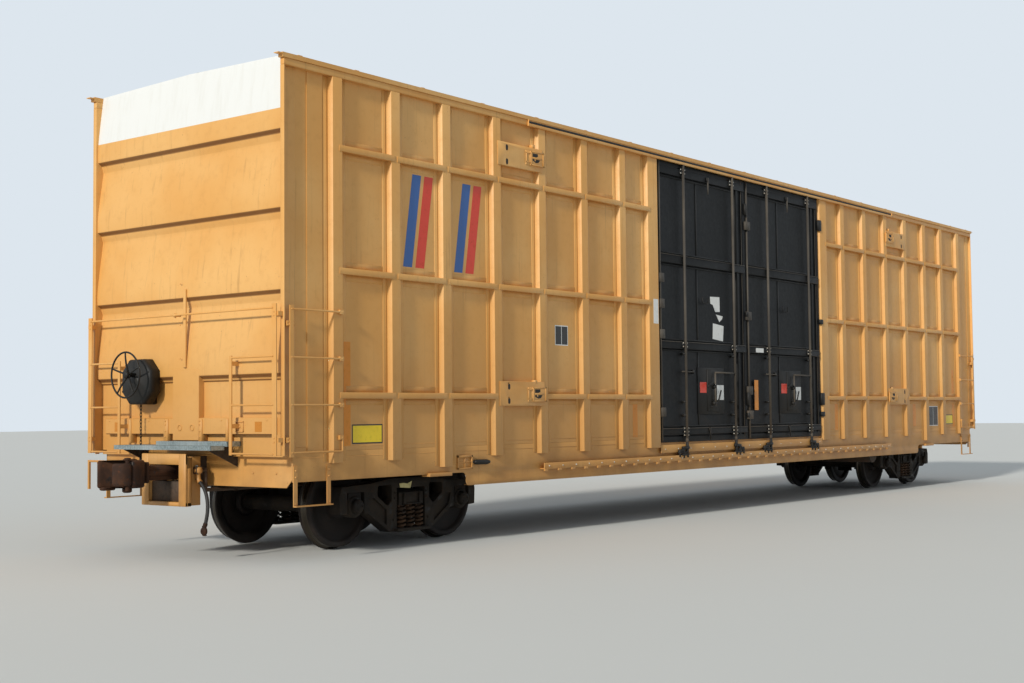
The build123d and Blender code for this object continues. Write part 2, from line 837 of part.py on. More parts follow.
# Door tracks: a channel under the eave, a lipped ledge on the sill, and threshold channels under the doors
track_half = 5200.0
upper_track_half = 5450.0
track_gauge = 8.0
track_reach = 24.0
track_lip = 34.0
with BuildPart() as door_tracks:
    with BuildSketch(Plane.YZ.offset(-upper_track_half)):
        Polygon(
            (-post_face, chord_top),
            (-post_face, track_bottom),
            (-post_face - track_reach, track_bottom),
            (-post_face - track_reach, track_bottom + track_lip),
            (-post_face - track_reach + track_gauge, track_bottom + track_lip),
            (-post_face - track_reach + track_gauge, track_bottom + track_gauge),
            (-post_face - track_gauge, track_bottom + track_gauge),
            (-post_face - track_gauge, chord_top),
            align=None,
        )
    extrude(amount=2 * upper_track_half)
    for end in ends:
        with Locations((end * (upper_track_half + track_gauge / 2), -post_face, track_bottom)):
            Box(track_gauge, track_reach, chord_top - track_bottom, align=(Align.CENTER, Align.MAX, Align.MIN))
    with BuildSketch(Plane.YZ.offset(-track_half)):
        Polygon(
            (-sheet_face, 796),
            (-sheet_face - 70, 796),
            (-sheet_face - 70, 874),
            (-sheet_face - 58, 874),
            (-sheet_face - 58, 808),
            (-sheet_face, 808),
            align=None,
        )
    extrude(amount=2 * track_half)
    with BuildSketch(Plane.YZ.offset(-door_post_place + door_post_width / 2 + post_flank + 6)):
        Polygon(
            (-sheet_face, 1026),
            (-sheet_face - 41, 1026),
            (-sheet_face - 41, 914),
            (-sheet_face - 31, 914),
            (-sheet_face - 31, 1014),
            (-sheet_face, 1014),
            align=None,
        )
    extrude(amount=2 * door_post_place - door_post_width - 2 * post_flank - 12)
    mirror(about=Plane.XZ)
door_tracks.part.label = "door_tracks"
export_step(door_tracks.part, "parts/door_tracks.step")

# Door stops: slotted plates across two posts, with a catch for the edge of an open door
stop_rows = (
    # height, tall, slot heights, catch height
    (4595.0, 285.0, (4504.0, 4674.0), 4608.0),
    (1720.0, 293.0, (1643.0, 1816.0), 1712.0),
)
slot_place = stop_bay + 710
slot_wide = 26.0
slot_tall = 70.0
catch_start = stop_bay - 10
catch_long = 270.0
catch_tall = 176.0
catch_proud = 18.0
hook_long = 85.0
hook_proud = 9.0
with BuildPart() as door_stops:
    start = stop_bay + post_width / 2 + post_flank
    stop = post_places[3] - post_width / 2 - post_flank
    stop_face = post_face + plate_gauge
    for height, tall, slots, catch in stop_rows:
        with BuildSketch(Plane.XY.offset(height - tall / 2)):
            with BuildLine():
                Polyline(bay_outline(start, stop, plate_lap, plate_gauge), close=True)
            make_face()
        extrude(amount=tall)
        for slot in slots:
            with Locations((slot_place, -stop_face, slot)):
                Box(slot_wide, 80, slot_tall, mode=Mode.SUBTRACT)
        with Locations((catch_start, -stop_face, catch)):
            Box(catch_long, catch_proud, catch_tall, align=(Align.MIN, Align.MAX, Align.CENTER))
        with Locations((catch_start + catch_long, -stop_face, catch)):
            Box(hook_long, hook_proud, catch_tall, align=(Align.MIN, Align.MAX, Align.CENTER))
    mirror(about=Plane.YZ)
    mirror(about=Plane.XZ)
door_stops.part.label = "door_stops"
export_step(door_stops.part, "parts/door_stops.step")

# Corner ladders: rungs from a stile on the corner post to the last side post
rung_radius = 10.0
side_rungs = (1113.0, 1590.0, 2067.0, 2551.0)
stile_x = body_half_length - 85
stile_wide = 50.0
stile_bottom = 1070.0
stile_top = 2590.0
rung_face = post_face + 15
rung_foot = last_post - 30
foot_wide = 56.0
foot_tall = 44.0
hook_x = last_post - 40
hook_height = 1254.0
corner_face = sheet_face + corner_gauge
foot_rows = (
    # rung, where it starts, foot place, foot height
    (side_rungs[0], hook_x, hook_x + foot_wide / 2 - rung_radius, hook_height),
    (side_rungs[1], rung_foot, rung_foot, side_rungs[1]),
    (side_rungs[2], rung_foot, rung_foot, side_rungs[2]),
    (side_rungs[3], rung_foot, rung_foot, side_rungs[3]),
)
with BuildPart() as side_ladders:
    with Locations((stile_x, -rung_face, stile_bottom)):
        Box(stile_wide, 12, stile_top - stile_bottom, align=(Align.CENTER, Align.CENTER, Align.MIN))
    for height in (1242.0, 2406.0):
        with Locations((stile_x, -corner_face, height)):
            Box(110, rung_face - corner_face - 6, 50, align=(Align.CENTER, Align.MAX, Align.CENTER))
    for height, begin, foot, foot_height in foot_rows:
        with BuildSketch(Plane.YZ.offset(begin)):
            with Locations((-rung_face, height)):
                Circle(rung_radius)
        extrude(amount=stile_x - stile_wide / 2 - begin)
        with Locations((foot, -post_face, foot_height)):
            Box(
                foot_wide,
                rung_face - post_face + rung_radius,
                foot_tall,
                align=(Align.CENTER, Align.MAX, Align.CENTER),
            )
    with Locations((hook_x, -rung_face, side_rungs[0])):
        Cylinder(rung_radius, hook_height - side_rungs[0], align=(Align.CENTER, Align.CENTER, Align.MIN))
        Sphere(rung_radius)
    mirror(about=Plane.YZ)
    mirror(about=Plane.XZ)
side_ladders.part.label = "side_ladders"
export_step(side_ladders.part, "parts/side_ladders.step")

# End ladders and the long grab rail
end_rungs = (1103.0, 1594.0, 2078.0)
outer_stile = 1523.0
outer_wide = 64.0
inner_wide = 40.0
end_rung_x = end_plane + 170
grab_height = 2560.0
ladder_foot = 1086.0
ladder_rows = (
    # side, inner stile: the one beside the hand brake stands farther out
    (1, 867.0),
    (-1, 990.0),
)
with BuildPart() as end_ladders:
    for side, inner_stile in ladder_rows:
        with Locations((end_rung_x, side * inner_stile, ladder_foot)):
            Box(12, inner_wide, 2100 - ladder_foot, align=(Align.CENTER, Align.CENTER, Align.MIN))
        with Locations((end_rung_x, side * outer_stile, ladder_foot)):
            Box(12, outer_wide, 2600 - ladder_foot, align=(Align.CENTER, Align.CENTER, Align.MIN))
        bracket_rows = (
            # middle, width, height, where the bracket starts
            (inner_stile, 40.0, 1382.0, end_plane + beam_proud),
            (inner_stile, 40.0, 2020.0, end_plane + end_proud),
            (sheet_face + 10, 60.0, 1242.0, body_half_length),
            (sheet_face + 10, 60.0, 2500.0, body_half_length),
        )
        for middle, width, height, begin in bracket_rows:
            with Locations((begin, side * middle, height)):
                Box(end_rung_x - 6 - begin, width, 44, align=(Align.MIN, Align.CENTER, Align.CENTER))
        rung_long = outer_stile - outer_wide / 2 - inner_stile - inner_wide / 2
        for height in end_rungs:
            with BuildSketch(Plane.XZ.offset(-side * (inner_stile + inner_wide / 2))):
                with Locations((end_rung_x, height)):
                    Circle(rung_radius)
            extrude(amount=-side * rung_long)
    with BuildSketch(Plane.XZ.offset(-outer_stile + outer_wide / 2)):
        with Locations((end_rung_x, grab_height)):
            Circle(rung_radius)
    extrude(amount=2 * outer_stile - outer_wide)
    add(end_ladders.part.rotate(Axis.Z, 180))
end_ladders.part.label = "end_ladders"
export_step(end_ladders.part, "parts/end_ladders.step")

# Sill steps: a stirrup of flat bar below each end of the side sills
step_low = 568.0
step_top = 976.0
step_start = last_post + 72
step_stop = body_half_length - 166
with BuildPart() as sill_steps:
    with BuildSketch(Plane.XZ.offset(sheet_face)):
        with Locations(((step_start + step_stop) / 2, (step_low + step_top) / 2)):
            Rectangle(step_stop - step_start, step_top - step_low)
            with Locations((0, 12)):
                Rectangle(step_stop - step_start - 100, step_top - step_low, mode=Mode.SUBTRACT)
    extrude(amount=12)
    with Locations(((step_start + step_stop) / 2, -sheet_face, step_low)):
        Box(step_stop - step_start, 50, 12, align=(Align.CENTER, Align.MAX, Align.MIN))
    mirror(about=Plane.YZ)
    mirror(about=Plane.XZ)
sill_steps.part.label = "sill_steps"
export_step(sill_steps.part, "parts/sill_steps.step")

# Jacking pads under the side sills beside the bolsters
pad_place = 7080.0
pad_long = 380.0
pad_wide = 125.0
pad_thick = 26.0
pad_lip = 40.0
pad_inner = sheet_face + pad_lip - pad_wide
with BuildPart() as jacking_pads:
    with Locations((pad_place, -pad_inner, sill_bottom_ends - pad_thick)):
        Box(pad_long, pad_wide, pad_thick, align=(Align.CENTER, Align.MAX, Align.MIN))
    with Locations((pad_place, -sheet_face, sill_bottom_ends)):
        Box(pad_long, pad_lip, 14, align=(Align.CENTER, Align.MAX, Align.MIN))
    mirror(about=Plane.YZ)
    mirror(about=Plane.XZ)
jacking_pads.part.label = "jacking_pads"
export_step(jacking_pads.part, "parts/jacking_pads.step")

# Hand brake: gear case on the end wall, hand wheel and the rod down to the sill
brake_y = 650.0
wheel_centre = 1938.0
hand_wheel_radius = 256.0
case_centre = 1865.0
case_base = -end_plane - end_proud
brake_rod_x = case_base - 60
with BuildPart() as hand_brake:
    with BuildSketch(Plane.YZ.offset(case_base)) as case:
        with Locations((brake_y, case_centre)):
            Rectangle(500, 490)
        chamfer(case.vertices(), length=130)
    extrude(amount=-140)
    with BuildSketch(Plane.YZ.offset(case_base + end_proud)):
        with Locations((brake_y, 1725)):
            Rectangle(220, 210)
    extrude(amount=-end_proud)
    with BuildSketch(Plane.YZ.offset(case_base - 140)):
        with Locations((brake_y, wheel_centre)):
            Circle(34)
    extrude(amount=-150)
    with BuildSketch(Plane.YZ.offset(case_base - 255)):
        with Locations((brake_y, wheel_centre)):
            Circle(hand_wheel_radius)
            Circle(hand_wheel_radius - 26, mode=Mode.SUBTRACT)
            with PolarLocations(130, 5):
                Rectangle(220, 22)
    extrude(amount=-24)
    with Locations((brake_rod_x, brake_y, 980)):
        Box(24, 24, case_centre - 240 - 980, align=(Align.CENTER, Align.CENTER, Align.MIN))
    with Locations((-sill_half_length, brake_y, 980)):
        Box(-case_base + 72 - sill_half_length, 40, 60, align=(Align.MAX, Align.CENTER, Align.CENTER))
hand_brake.part.label = "hand_brake"
export_step(hand_brake.part, "parts/hand_brake.step")

# Crossover platforms at both ends: a raised board by the wall and a lower one outside it
raised_top = 1226.0
raised_thick = 52.0
deck_top = 1184.0
deck_thick = 46.0
deck_bottom = deck_top - deck_thick
deck_step = end_plane + 180
deck_edge = end_plane + 360
raised_end = 330.0
deck_rows = (
    # x from, x to, y from, y to, top, thickness
    (deck_step, deck_edge, -786.0, 820.0, deck_top, deck_thick),
    (end_plane, deck_step, raised_end, 820.0, deck_top, deck_thick),
    (end_plane, deck_step, -830.0, raised_end, raised_top, raised_thick),
)
bracket_rows = (
    # place, top beside the wall
    (-700.0, raised_top - raised_thick),
    (700.0, deck_bottom),
)
bracket_thick = 12.0
slot_square = 70.0
with BuildPart() as platforms:
    for x_from, x_to, y_from, y_to, top, thickness in deck_rows:
        with Locations((-x_to, y_from, top - thickness)):
            Box(x_to - x_from, y_to - y_from, thickness, align=Align.MIN)
    for place, wall_top in bracket_rows:
        with BuildSketch(Plane.XZ.offset(-place)):
            Polygon(
                (-end_plane, wall_top),
                (-deck_step, wall_top),
                (-deck_step, deck_bottom),
                (-deck_edge + 30, deck_bottom),
                (-sill_half_length, 960),
                (-sill_half_length, floor_bottom),
                (-end_plane, floor_bottom),
                align=None,
            )
        extrude(amount=bracket_thick)
    add(platforms.part.rotate(Axis.Z, 180))
    with Locations((brake_rod_x, brake_y, deck_top)):
        Box(slot_square, slot_square, 3 * deck_thick, mode=Mode.SUBTRACT)
platforms.part.label = "platforms"
export_step(platforms.part, "parts/platforms.step")

# Uncoupling levers: a rod along the end sill, with a handle at the corner of the car
lever_x = sill_half_length + 350
lever_height = 1002.0
with BuildPart() as uncoupling_levers:
    with BuildSketch(Plane.XZ.offset(120)):
        with Locations((lever_x, lever_height)):
            Circle(12)
    extrude(amount=1230)
    for place in (-1180, -480):
        with Locations((sill_half_length, place, lever_height - 12)):
            Box(lever_x + 16 - sill_half_length, 40, 12, align=(Align.MIN, Align.CENTER, Align.MAX))
    with Locations((lever_x, -1350, lever_height + 12)):
        Box(24, 24, 320, align=(Align.CENTER, Align.MAX, Align.MAX))
    add(uncoupling_levers.part.rotate(Axis.Z, 180))
uncoupling_levers.part.label = "uncoupling_levers"
export_step(uncoupling_levers.part, "parts/uncoupling_levers.step")

# Air brake equipment under the floor: reservoir, cylinder, valve and train pipe
with BuildPart() as air_reservoir:
    with BuildSketch(Plane.XZ.offset(420)):
        with Locations((4900, 700)):
            Circle(160)
    extrude(amount=960)
    for place in (-620, -1180):
        with Locations((4900, place, floor_bottom)):
            Box(60, 50, floor_bottom - 850, align=(Align.CENTER, Align.CENTER, Align.MAX))
air_reservoir.part.label = "air_reservoir"
export_step(air_reservoir.part, "parts/air_reservoir.step")

with BuildPart() as brake_cylinder:
    with BuildSketch(Plane.YZ.offset(-3900)):
        with Locations((720, 800)):
            Circle(140)
    extrude(amount=520)
    with BuildSketch(Plane.YZ.offset(-3380)):
        with Locations((720, 800)):
            Circle(30)
    extrude(amount=300)
    with Locations((-3640, 720, floor_bottom)):
        Box(300, 60, floor_bottom - 930, align=(Align.CENTER, Align.CENTER, Align.MAX))
brake_cylinder.part.label = "brake_cylinder"
export_step(brake_cylinder.part, "parts/brake_cylinder.step")

with BuildPart() as control_valve:
    with Locations((2100, 800, floor_bottom)):
        Box(120, 340, 300, align=(Align.CENTER, Align.CENTER, Align.MAX))
    with Locations((2160, 800, floor_bottom - 60), (2040, 800, floor_bottom - 60)):
        Box(150, 220, 220, align=(Align.CENTER, Align.CENTER, Align.MAX))
control_valve.part.label = "control_valve"
export_step(control_valve.part, "parts/control_valve.step")

pipe_height = sill_low - pipe_radius
nozzle_long = 45.0
nozzle_turn = 50.0
pipe_points = [
    Vector(-cock_place, -pipe_place, cock_height),
    Vector(-pipe_end, -pipe_place, cock_height),
    Vector(-pipe_end, -pipe_place, pipe_height),
    Vector(pipe_crossing, -pipe_place, pipe_height),
    Vector(pipe_crossing, pipe_place, pipe_height),
    Vector(pipe_end, pipe_place, pipe_height),
    Vector(pipe_end, pipe_place, cock_height),
    Vector(cock_place, pipe_place, cock_height),
]
with BuildPart() as train_pipe:
    for begin, finish in zip(pipe_points[:-1], pipe_points[1:]):
        with BuildSketch(Plane(origin=begin, z_dir=finish - begin)):
            Circle(pipe_radius)
        extrude(amount=(finish - begin).length)
    with Locations(*pipe_points[1:-1]):
        Sphere(pipe_radius)
    for end in ends:
        with Locations((end * cock_place, end * pipe_place, cock_height)):
            Box(84, 54, 76)
            Cylinder(nozzle_radius, cock_height - nozzle_height, align=(Align.CENTER, Align.CENTER, Align.MAX))
        with Locations((end * cock_place, end * pipe_place, nozzle_height)):
            Sphere(nozzle_radius)
        nozzle = Location((end * cock_place, end * pipe_place, nozzle_height), (end * nozzle_turn, 0, 0))
        with Locations(nozzle):
            Cylinder(nozzle_radius, nozzle_long, align=(Align.CENTER, Align.CENTER, Align.MAX))
train_pipe.part.label = "train_pipe"
export_step(train_pipe.part, "parts/train_pipe.step")

# Air hoses: hoses that hang from the angle cocks, each with a coupling on its end
hose_radius = 19.0
shank_radius = 24.0
shank_long = 55.0
hose_runs = (
    # turn from plumb, run, outward step
    (nozzle_turn, 75.0, 0.0),
    (38.0, 80.0, 9.0),
    (26.0, 80.0, 11.0),
    (13.0, 80.0, 10.0),
    (0.0, 80.0, 8.0),
    (-13.0, 75.0, 6.0),
)
across = pipe_place + nozzle_long * sin(radians(nozzle_turn))
height = nozzle_height - nozzle_long * cos(radians(nozzle_turn))
out = cock_place
hose_points = [(out, across, height)]
for turn, run, step in hose_runs:
    across += run * sin(radians(turn))
    height -= run * cos(radians(turn))
    out += step
    hose_points.append((out, across, height))
with BuildPart() as gladhands:
    for letter, end in (("b", -1), ("a", 1)):
        corners = [Vector(end * out, end * across, height) for out, across, height in hose_points]
        runs = [after - before for before, after in zip(corners[:-1], corners[1:])]
        radii = []
        for before, after in zip(runs[:-1], runs[1:]):
            half_turn = radians(before.get_angle(after)) / 2
            radii.append(0.45 * min(before.length, after.length) / tan(half_turn))
        with BuildPart(mode=Mode.PRIVATE) as air_hose:
            with BuildLine() as route:
                FilletPolyline(*corners, radius=radii)
            with BuildSketch(Plane(origin=corners[0], z_dir=runs[0])):
                Circle(hose_radius)
            sweep(path=route.wires()[0])
        hose_length = route.wires()[0].length
        section = pi * hose_radius**2
        print("hose", letter, "length", round(hose_length, 1), "radii", [round(r) for r in radii])
        print("volume over section times length", round(air_hose.part.volume / section / hose_length, 4))
        air_hose.part.label = f"air_hose_{letter}"
        export_step(air_hose.part, f"parts/air_hose_{letter}.step")
        coupling = Plane(origin=corners[-1], x_dir=(0, 1, 0), z_dir=runs[-1])
        with Locations(coupling.location):
            Cylinder(shank_radius, shank_long, align=(Align.CENTER, Align.CENTER, Align.MIN))
            with Locations(Location((0, 0, shank_long + 30), (90, 0, 0))):
                Cylinder(44, 40)
                Box(60, 60, 52)
gladhands.part.label = "gladhands"
export_step(gladhands.part, "parts/gladhands.step")
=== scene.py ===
import json
import math
import bmesh
import bpy
import numpy as np
from mathutils import Matrix, Vector

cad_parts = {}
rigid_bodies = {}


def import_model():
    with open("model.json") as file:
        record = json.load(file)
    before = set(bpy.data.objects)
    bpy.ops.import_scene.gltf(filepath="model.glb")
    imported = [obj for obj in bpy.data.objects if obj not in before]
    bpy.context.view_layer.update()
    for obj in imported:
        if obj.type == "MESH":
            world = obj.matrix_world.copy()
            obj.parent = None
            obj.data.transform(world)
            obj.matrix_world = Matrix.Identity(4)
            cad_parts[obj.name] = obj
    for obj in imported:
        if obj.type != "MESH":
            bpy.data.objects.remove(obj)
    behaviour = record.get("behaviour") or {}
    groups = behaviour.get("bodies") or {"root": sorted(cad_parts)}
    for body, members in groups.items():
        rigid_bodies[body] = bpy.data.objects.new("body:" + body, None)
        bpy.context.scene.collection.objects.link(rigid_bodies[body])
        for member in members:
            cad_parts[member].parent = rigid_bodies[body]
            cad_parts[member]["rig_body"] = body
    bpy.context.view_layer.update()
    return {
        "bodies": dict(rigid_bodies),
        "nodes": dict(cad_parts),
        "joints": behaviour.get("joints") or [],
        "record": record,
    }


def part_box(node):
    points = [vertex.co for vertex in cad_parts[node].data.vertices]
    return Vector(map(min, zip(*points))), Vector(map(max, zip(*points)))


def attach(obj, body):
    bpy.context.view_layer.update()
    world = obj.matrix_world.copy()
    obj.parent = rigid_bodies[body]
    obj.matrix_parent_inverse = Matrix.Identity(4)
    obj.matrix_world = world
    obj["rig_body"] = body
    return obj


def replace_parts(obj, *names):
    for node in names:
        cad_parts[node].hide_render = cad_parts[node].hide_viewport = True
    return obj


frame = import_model()
nodes = frame["nodes"]
print("frame loaded:", len(nodes), "nodes")


# Camera: it stands beside the hand brake end, 1.5 m up, and looks along the near side
camera = {
    "place": (-18.974, -11.994, 1.493),
    "heading": 51.70,  # degrees from +Y towards +X
    "climb": 2.90,  # degrees above the horizon
    "roll": -0.548,
    "lens": 49.36,  # mm
    "sensor": 36,  # mm wide
    "farthest": 400,
}


def makeCamera(settings):
    heading, climb, roll = (math.radians(settings[key]) for key in ("heading", "climb", "roll"))
    forward = Vector((math.sin(heading) * math.cos(climb), math.cos(heading) * math.cos(climb), math.sin(climb)))
    level = Vector((math.cos(heading), -math.sin(heading), 0))
    upright = level.cross(forward)
    right = math.cos(roll) * level + math.sin(roll) * upright
    up = math.cos(roll) * upright - math.sin(roll) * level
    data = bpy.data.cameras.new("trackside")
    data.lens, data.sensor_width, data.clip_end = settings["lens"], settings["sensor"], settings["farthest"]
    eye = bpy.data.objects.new("trackside", data)
    turned = Matrix((right, up, -forward)).transposed().to_4x4()
    eye.matrix_world = Matrix.Translation(settings["place"]) @ turned
    bpy.context.scene.collection.objects.link(eye)
    bpy.context.scene.camera = eye


makeCamera(camera)


# Air hoses: each hangs from its angle cock, with the points of the solid as the control points of one curve
hose = {
    "elbow": (9.5, 0.33, 0.83),  # out, across, up
    "runs": (  # degrees from plumb, length, step outwards; the first is the nozzle
        (50, 0.045, 0.0), (50, 0.075, 0.0), (38, 0.08, 0.009), (26, 0.08, 0.011), (13, 0.08, 0.01), (0, 0.08, 0.008),
        (-13, 0.075, 0.006),
    ),
    "diameter": 0.038,
    "length": 0.471,
}


def hosePoints(h, end):
    out, across, up = h["elbow"]
    points = []
    for turn, run, step in h["runs"]:
        across += run * math.sin(math.radians(turn))
        up -= run * math.cos(math.radians(turn))
        out += step
        points.append((end * out, end * across, up))
    return points


def makeHose(h, letter, end):
    curve = bpy.data.curves.new(f"airHose_{letter}", "CURVE")
    curve.dimensions = "3D"
    curve.bevel_depth, curve.bevel_resolution, curve.use_fill_caps = 1.0, 5, True
    line = curve.splines.new("NURBS")
    points = hosePoints(h, end)
    line.points.add(len(points) - 1)
    for control, point in zip(line.points, points):
        control.co, control.radius = (*point, 1), h["diameter"] / 2  # a radius on the points keeps the box right
    line.order_u, line.use_endpoint_u = 3, True
    piece = bpy.data.objects.new(f"airHose_{letter}", curve)
    bpy.context.scene.collection.objects.link(piece)
    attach(piece, "carbody")
    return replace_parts(piece, f"air_hose_{letter}")


ends = (("b", -1), ("a", 1))
hoses = {letter: makeHose(hose, letter, end) for letter, end in ends}


# Finishes: each is a table of the values it reads, the colours that they lay over the body, and its relief
def tone(hexCode):  # an sRGB hex value turned to linear
    parts = [int(hexCode[i : i + 2], 16) / 255 for i in (1, 3, 5)]
    return tuple(c / 12.92 if c <= 0.04045 else ((c + 0.055) / 1.055) ** 2.4 for c in parts) + (1.0,)


def put(tree, kind, sockets=None, out=0, **settings):  # one node: a socket takes a constant or another node's output
    node = tree.nodes.new(kind)
    for key, value in settings.items():
        setattr(node, key, value)
    for key, value in (sockets or {}).items():
        if isinstance(value, bpy.types.NodeSocket):
            tree.links.new(value, node.inputs[key])
        else:
            node.inputs[key].default_value = value
    return node.outputs[out]


def readSource(tree, place, known, kind, *row):
    # a noise by the size of its blotches in metres, zinc crystals, planks, a place, a slope, or two values as one
    if kind == "noise":
        size, detail, rough, stretch = row + (4.0, 0.55, None)[len(row) - 1 :]
        if stretch:
            place = put(tree, "ShaderNodeMapping", {"Vector": place, "Scale": stretch})
        sockets = {"Vector": place, "Scale": 1 / size, "Detail": detail, "Roughness": rough}
        return put(tree, "ShaderNodeTexNoise", sockets)
    if kind == "crystals":
        colour = put(tree, "ShaderNodeTexVoronoi", {"Vector": place, "Scale": 1 / row[0]}, out="Color")
        return put(tree, "ShaderNodeSeparateColor", {"Color": colour})
    if kind == "crystalEdges":
        return put(tree, "ShaderNodeTexVoronoi", {"Vector": place, "Scale": 1 / row[0]}, out="Distance")
    if kind == "planks":
        sockets = {"Vector": place, "Scale": 1 / (row[0] * 20), "Distortion": 0.4}
        return put(tree, "ShaderNodeTexWave", sockets, out="Fac")
    if kind == "distance":
        along = put(tree, "ShaderNodeSeparateXYZ", {"Vector": place}, out=row[0])
        return put(tree, "ShaderNodeMath", {0: along}, operation="ABSOLUTE")
    if kind == "slope":
        facing = put(tree, "ShaderNodeNewGeometry", out="True Normal")
        return put(tree, "ShaderNodeSeparateXYZ", {"Vector": facing}, out="Z")
    if kind == "attribute":
        return put(tree, "ShaderNodeAttribute", out="Fac", attribute_name=row[0])
    if kind == "mask":
        source, low, high = row
        return put(tree, "ShaderNodeMapRange", {0: known[source], 1: low, 2: high}, interpolation_type="SMOOTHSTEP")
    if kind == "product":
        return put(tree, "ShaderNodeMath", {0: known[row[0]], 1: known[row[1]]}, operation="MULTIPLY")
    first, firstShare, second, secondShare = row  # the sum of two
    part = put(tree, "ShaderNodeMath", {0: known[first], 1: firstShare}, operation="MULTIPLY")
    return put(tree, "ShaderNodeMath", {0: known[second], 1: secondShare, 2: part}, operation="MULTIPLY_ADD")


def makeFinish(name, finish):
    # a layer is (colour, share, masks): a mask is (source, where it starts, where it is full), or (source,) as it is
    material = bpy.data.materials.new(name)
    material.use_nodes = True
    tree = material.node_tree
    shader = tree.nodes["Principled BSDF"]
    place = put(tree, "ShaderNodeTexCoord", out="Object")
    known = {}
    for key, row in finish["sources"].items():
        known[key] = readSource(tree, place, known, *row)
    colour = tone(finish["body"])
    for over, share, *masks in finish["layers"]:
        factor = share
        for source, *span in masks:
            part = readSource(tree, place, known, "mask", source, *span) if span else known[source]
            factor = put(tree, "ShaderNodeMath", {0: part, 1: factor}, operation="MULTIPLY")
        colour = put(tree, "ShaderNodeMix", {0: factor, 6: colour, 7: tone(finish[over])}, out=2, data_type="RGBA")
    tree.links.new(colour, shader.inputs["Base Color"])
    for socket, value in finish["sockets"].items():
        if isinstance(value, tuple):  # (source, value where it is 0, value where it is 1)
            value = put(tree, "ShaderNodeMapRange", {0: known[value[0]], 3: value[1], 4: value[2]})
            tree.links.new(value, shader.inputs[socket])
        else:
            shader.inputs[socket].default_value = value
    if "relief" in finish:  # (source, depth in metres)
        source, depth = finish["relief"]
        normal = put(tree, "ShaderNodeBump", {"Height": known[source], "Distance": depth})
        tree.links.new(normal, shader.inputs["Normal"])
    return material


def variant(base, sources=(), layers=(), **changes):  # the same finish with some values changed and layers added
    mixed = {**base["sources"], **dict(sources)}
    return {**base, "sources": mixed, "layers": (*base["layers"], *layers), **changes}


# Alkyd enamel sprayed on pressed steel: chalked by the sun, streaked by rain, dusty low down, with painted shade
# darkening the lower sheet, rust at chips
enamel = {
    "body": "#D69C50", "chalked": "#DDAA64", "grimed": "#B68243",
    "streak": "#87602F", "dust": "#7A552E", "rust": "#6A3A1C",
    "sources": {
        "patches": ("noise", 1.6, 3.0),  # metres across one patch of fading
        "fine": ("noise", 0.09, 6.0, 0.62),
        "runs": ("noise", 0.045, 3.0, 0.6, (1, 1, 0.035)),  # rain runs, long down the sheet
        "drift": ("noise", 0.3, 5.0),
        "chips": ("noise", 0.022, 2.0, 0.7),
        "height": ("distance", "Z"),
        "waves": ("noise", 0.55, 1.0),
        "sheet": ("sum", "waves", 1.0, "fine", 0.12),
    },
    "layers": (
        ("chalked", 1.0, ("patches", 0.38, 0.66)),
        ("grimed", 0.2, ("fine", 0.48, 0.75)),
        ("streak", 0.35, ("runs", 0.56, 0.78), ("patches", 0.3, 0.62)),
        ("dust", 0.72, ("height", 1.35, 0.6), ("drift", 0.25, 0.75)),
        # painted shade: the sheet is darkened from 2.9 m down to 1.0 m
        ("grimed", 0.55, ("height", 2.9, 1.0)),
        ("rust", 0.8, ("chips", 0.715, 0.74), ("patches", 0.48, 0.6)),
    ),
    "sockets": {"Roughness": ("fine", 0.42, 0.68), "Coat Weight": 0.08, "Coat Roughness": 0.35},
    "relief": ("sheet", 0.0035),  # how far a sheet waves between its welds
}
enamelPaint = makeFinish("alkydEnamelSprayed", enamel)
trimSources = {"patches": ("noise", 0.7, 3.0), "sheet": ("sum", "waves", 0.5, "fine", 0.12)}
trimPaint = makeFinish("alkydEnamelOnBar", variant(enamel, trimSources, body="#D89C50", relief=("sheet", 0.0012)))

# The end sheets carry the same enamel with a broad white band on top, and painted shade on the faces that look
# downwards, under the crests
bandEdge = (4.582, 4.588)
banded = variant(
    enamel,
    {"smears": ("noise", 0.08, 5.0, 0.6, (1, 1, 0.12)), "upward": ("slope",)},
    (
        ("band", 1.0, ("height", *bandEdge)),
        ("bandDirt", 0.3, ("smears", 0.45, 0.8), ("height", *bandEdge)),
        # painted shade: faces turned downwards are darkened
        ("grime", 0.85, ("upward", -0.3, -0.8)),
    ),
    band="#DEDEDB", bandDirt="#C9C6BC", grime="#6E4420",
)
bandedPaint = makeFinish("alkydEnamelBanded", banded)

# Black enamel on the door skins: satin, greyed by dust, with brown dirt in the lower panels
blackPaint = {
    "body": "#08090A", "faded": "#101111", "dust": "#25221D", "dirt": "#221B14",
    "sources": {
        "patches": ("noise", 0.8, 4.0),
        "fine": ("noise", 0.05, 6.0, 0.65),
        "runs": ("noise", 0.05, 3.0, 0.6, (1, 1, 0.04)),
        "drift": ("noise", 0.25, 5.0),
        "height": ("distance", "Z"),
        "waves": ("noise", 0.5, 1.0),
        "sheet": ("sum", "waves", 1.0, "fine", 0.15),
    },
    "layers": (
        ("faded", 1.0, ("patches", 0.35, 0.7)),
        ("dust", 0.35, ("runs", 0.55, 0.8)),
        ("dirt", 0.6, ("height", 2.6, 0.9), ("drift", 0.35, 0.7)),
    ),
    "sockets": {"Roughness": ("fine", 0.42, 0.7), "Specular IOR Level": 0.22},
    "relief": ("sheet", 0.003),
}
doorPaint = makeFinish("satinEnamelBlack", blackPaint)
forged = variant(blackPaint, body="#121211", faded="#201E1B", relief=("sheet", 0.0008))
forged["sockets"] = {**blackPaint["sockets"], "Specular IOR Level": 0.3}
gearPaint = makeFinish("satinEnamelOnForgings", forged)
rodColours = {"body": "#443F39", "faded": "#5C554C", "dust": "#75695A", "dirt": "#4A3B2C"}  # worn grey by handling
rodPaint = makeFinish("satinEnamelOnRods", variant(blackPaint, **rodColours, relief=("sheet", 0.0006)))

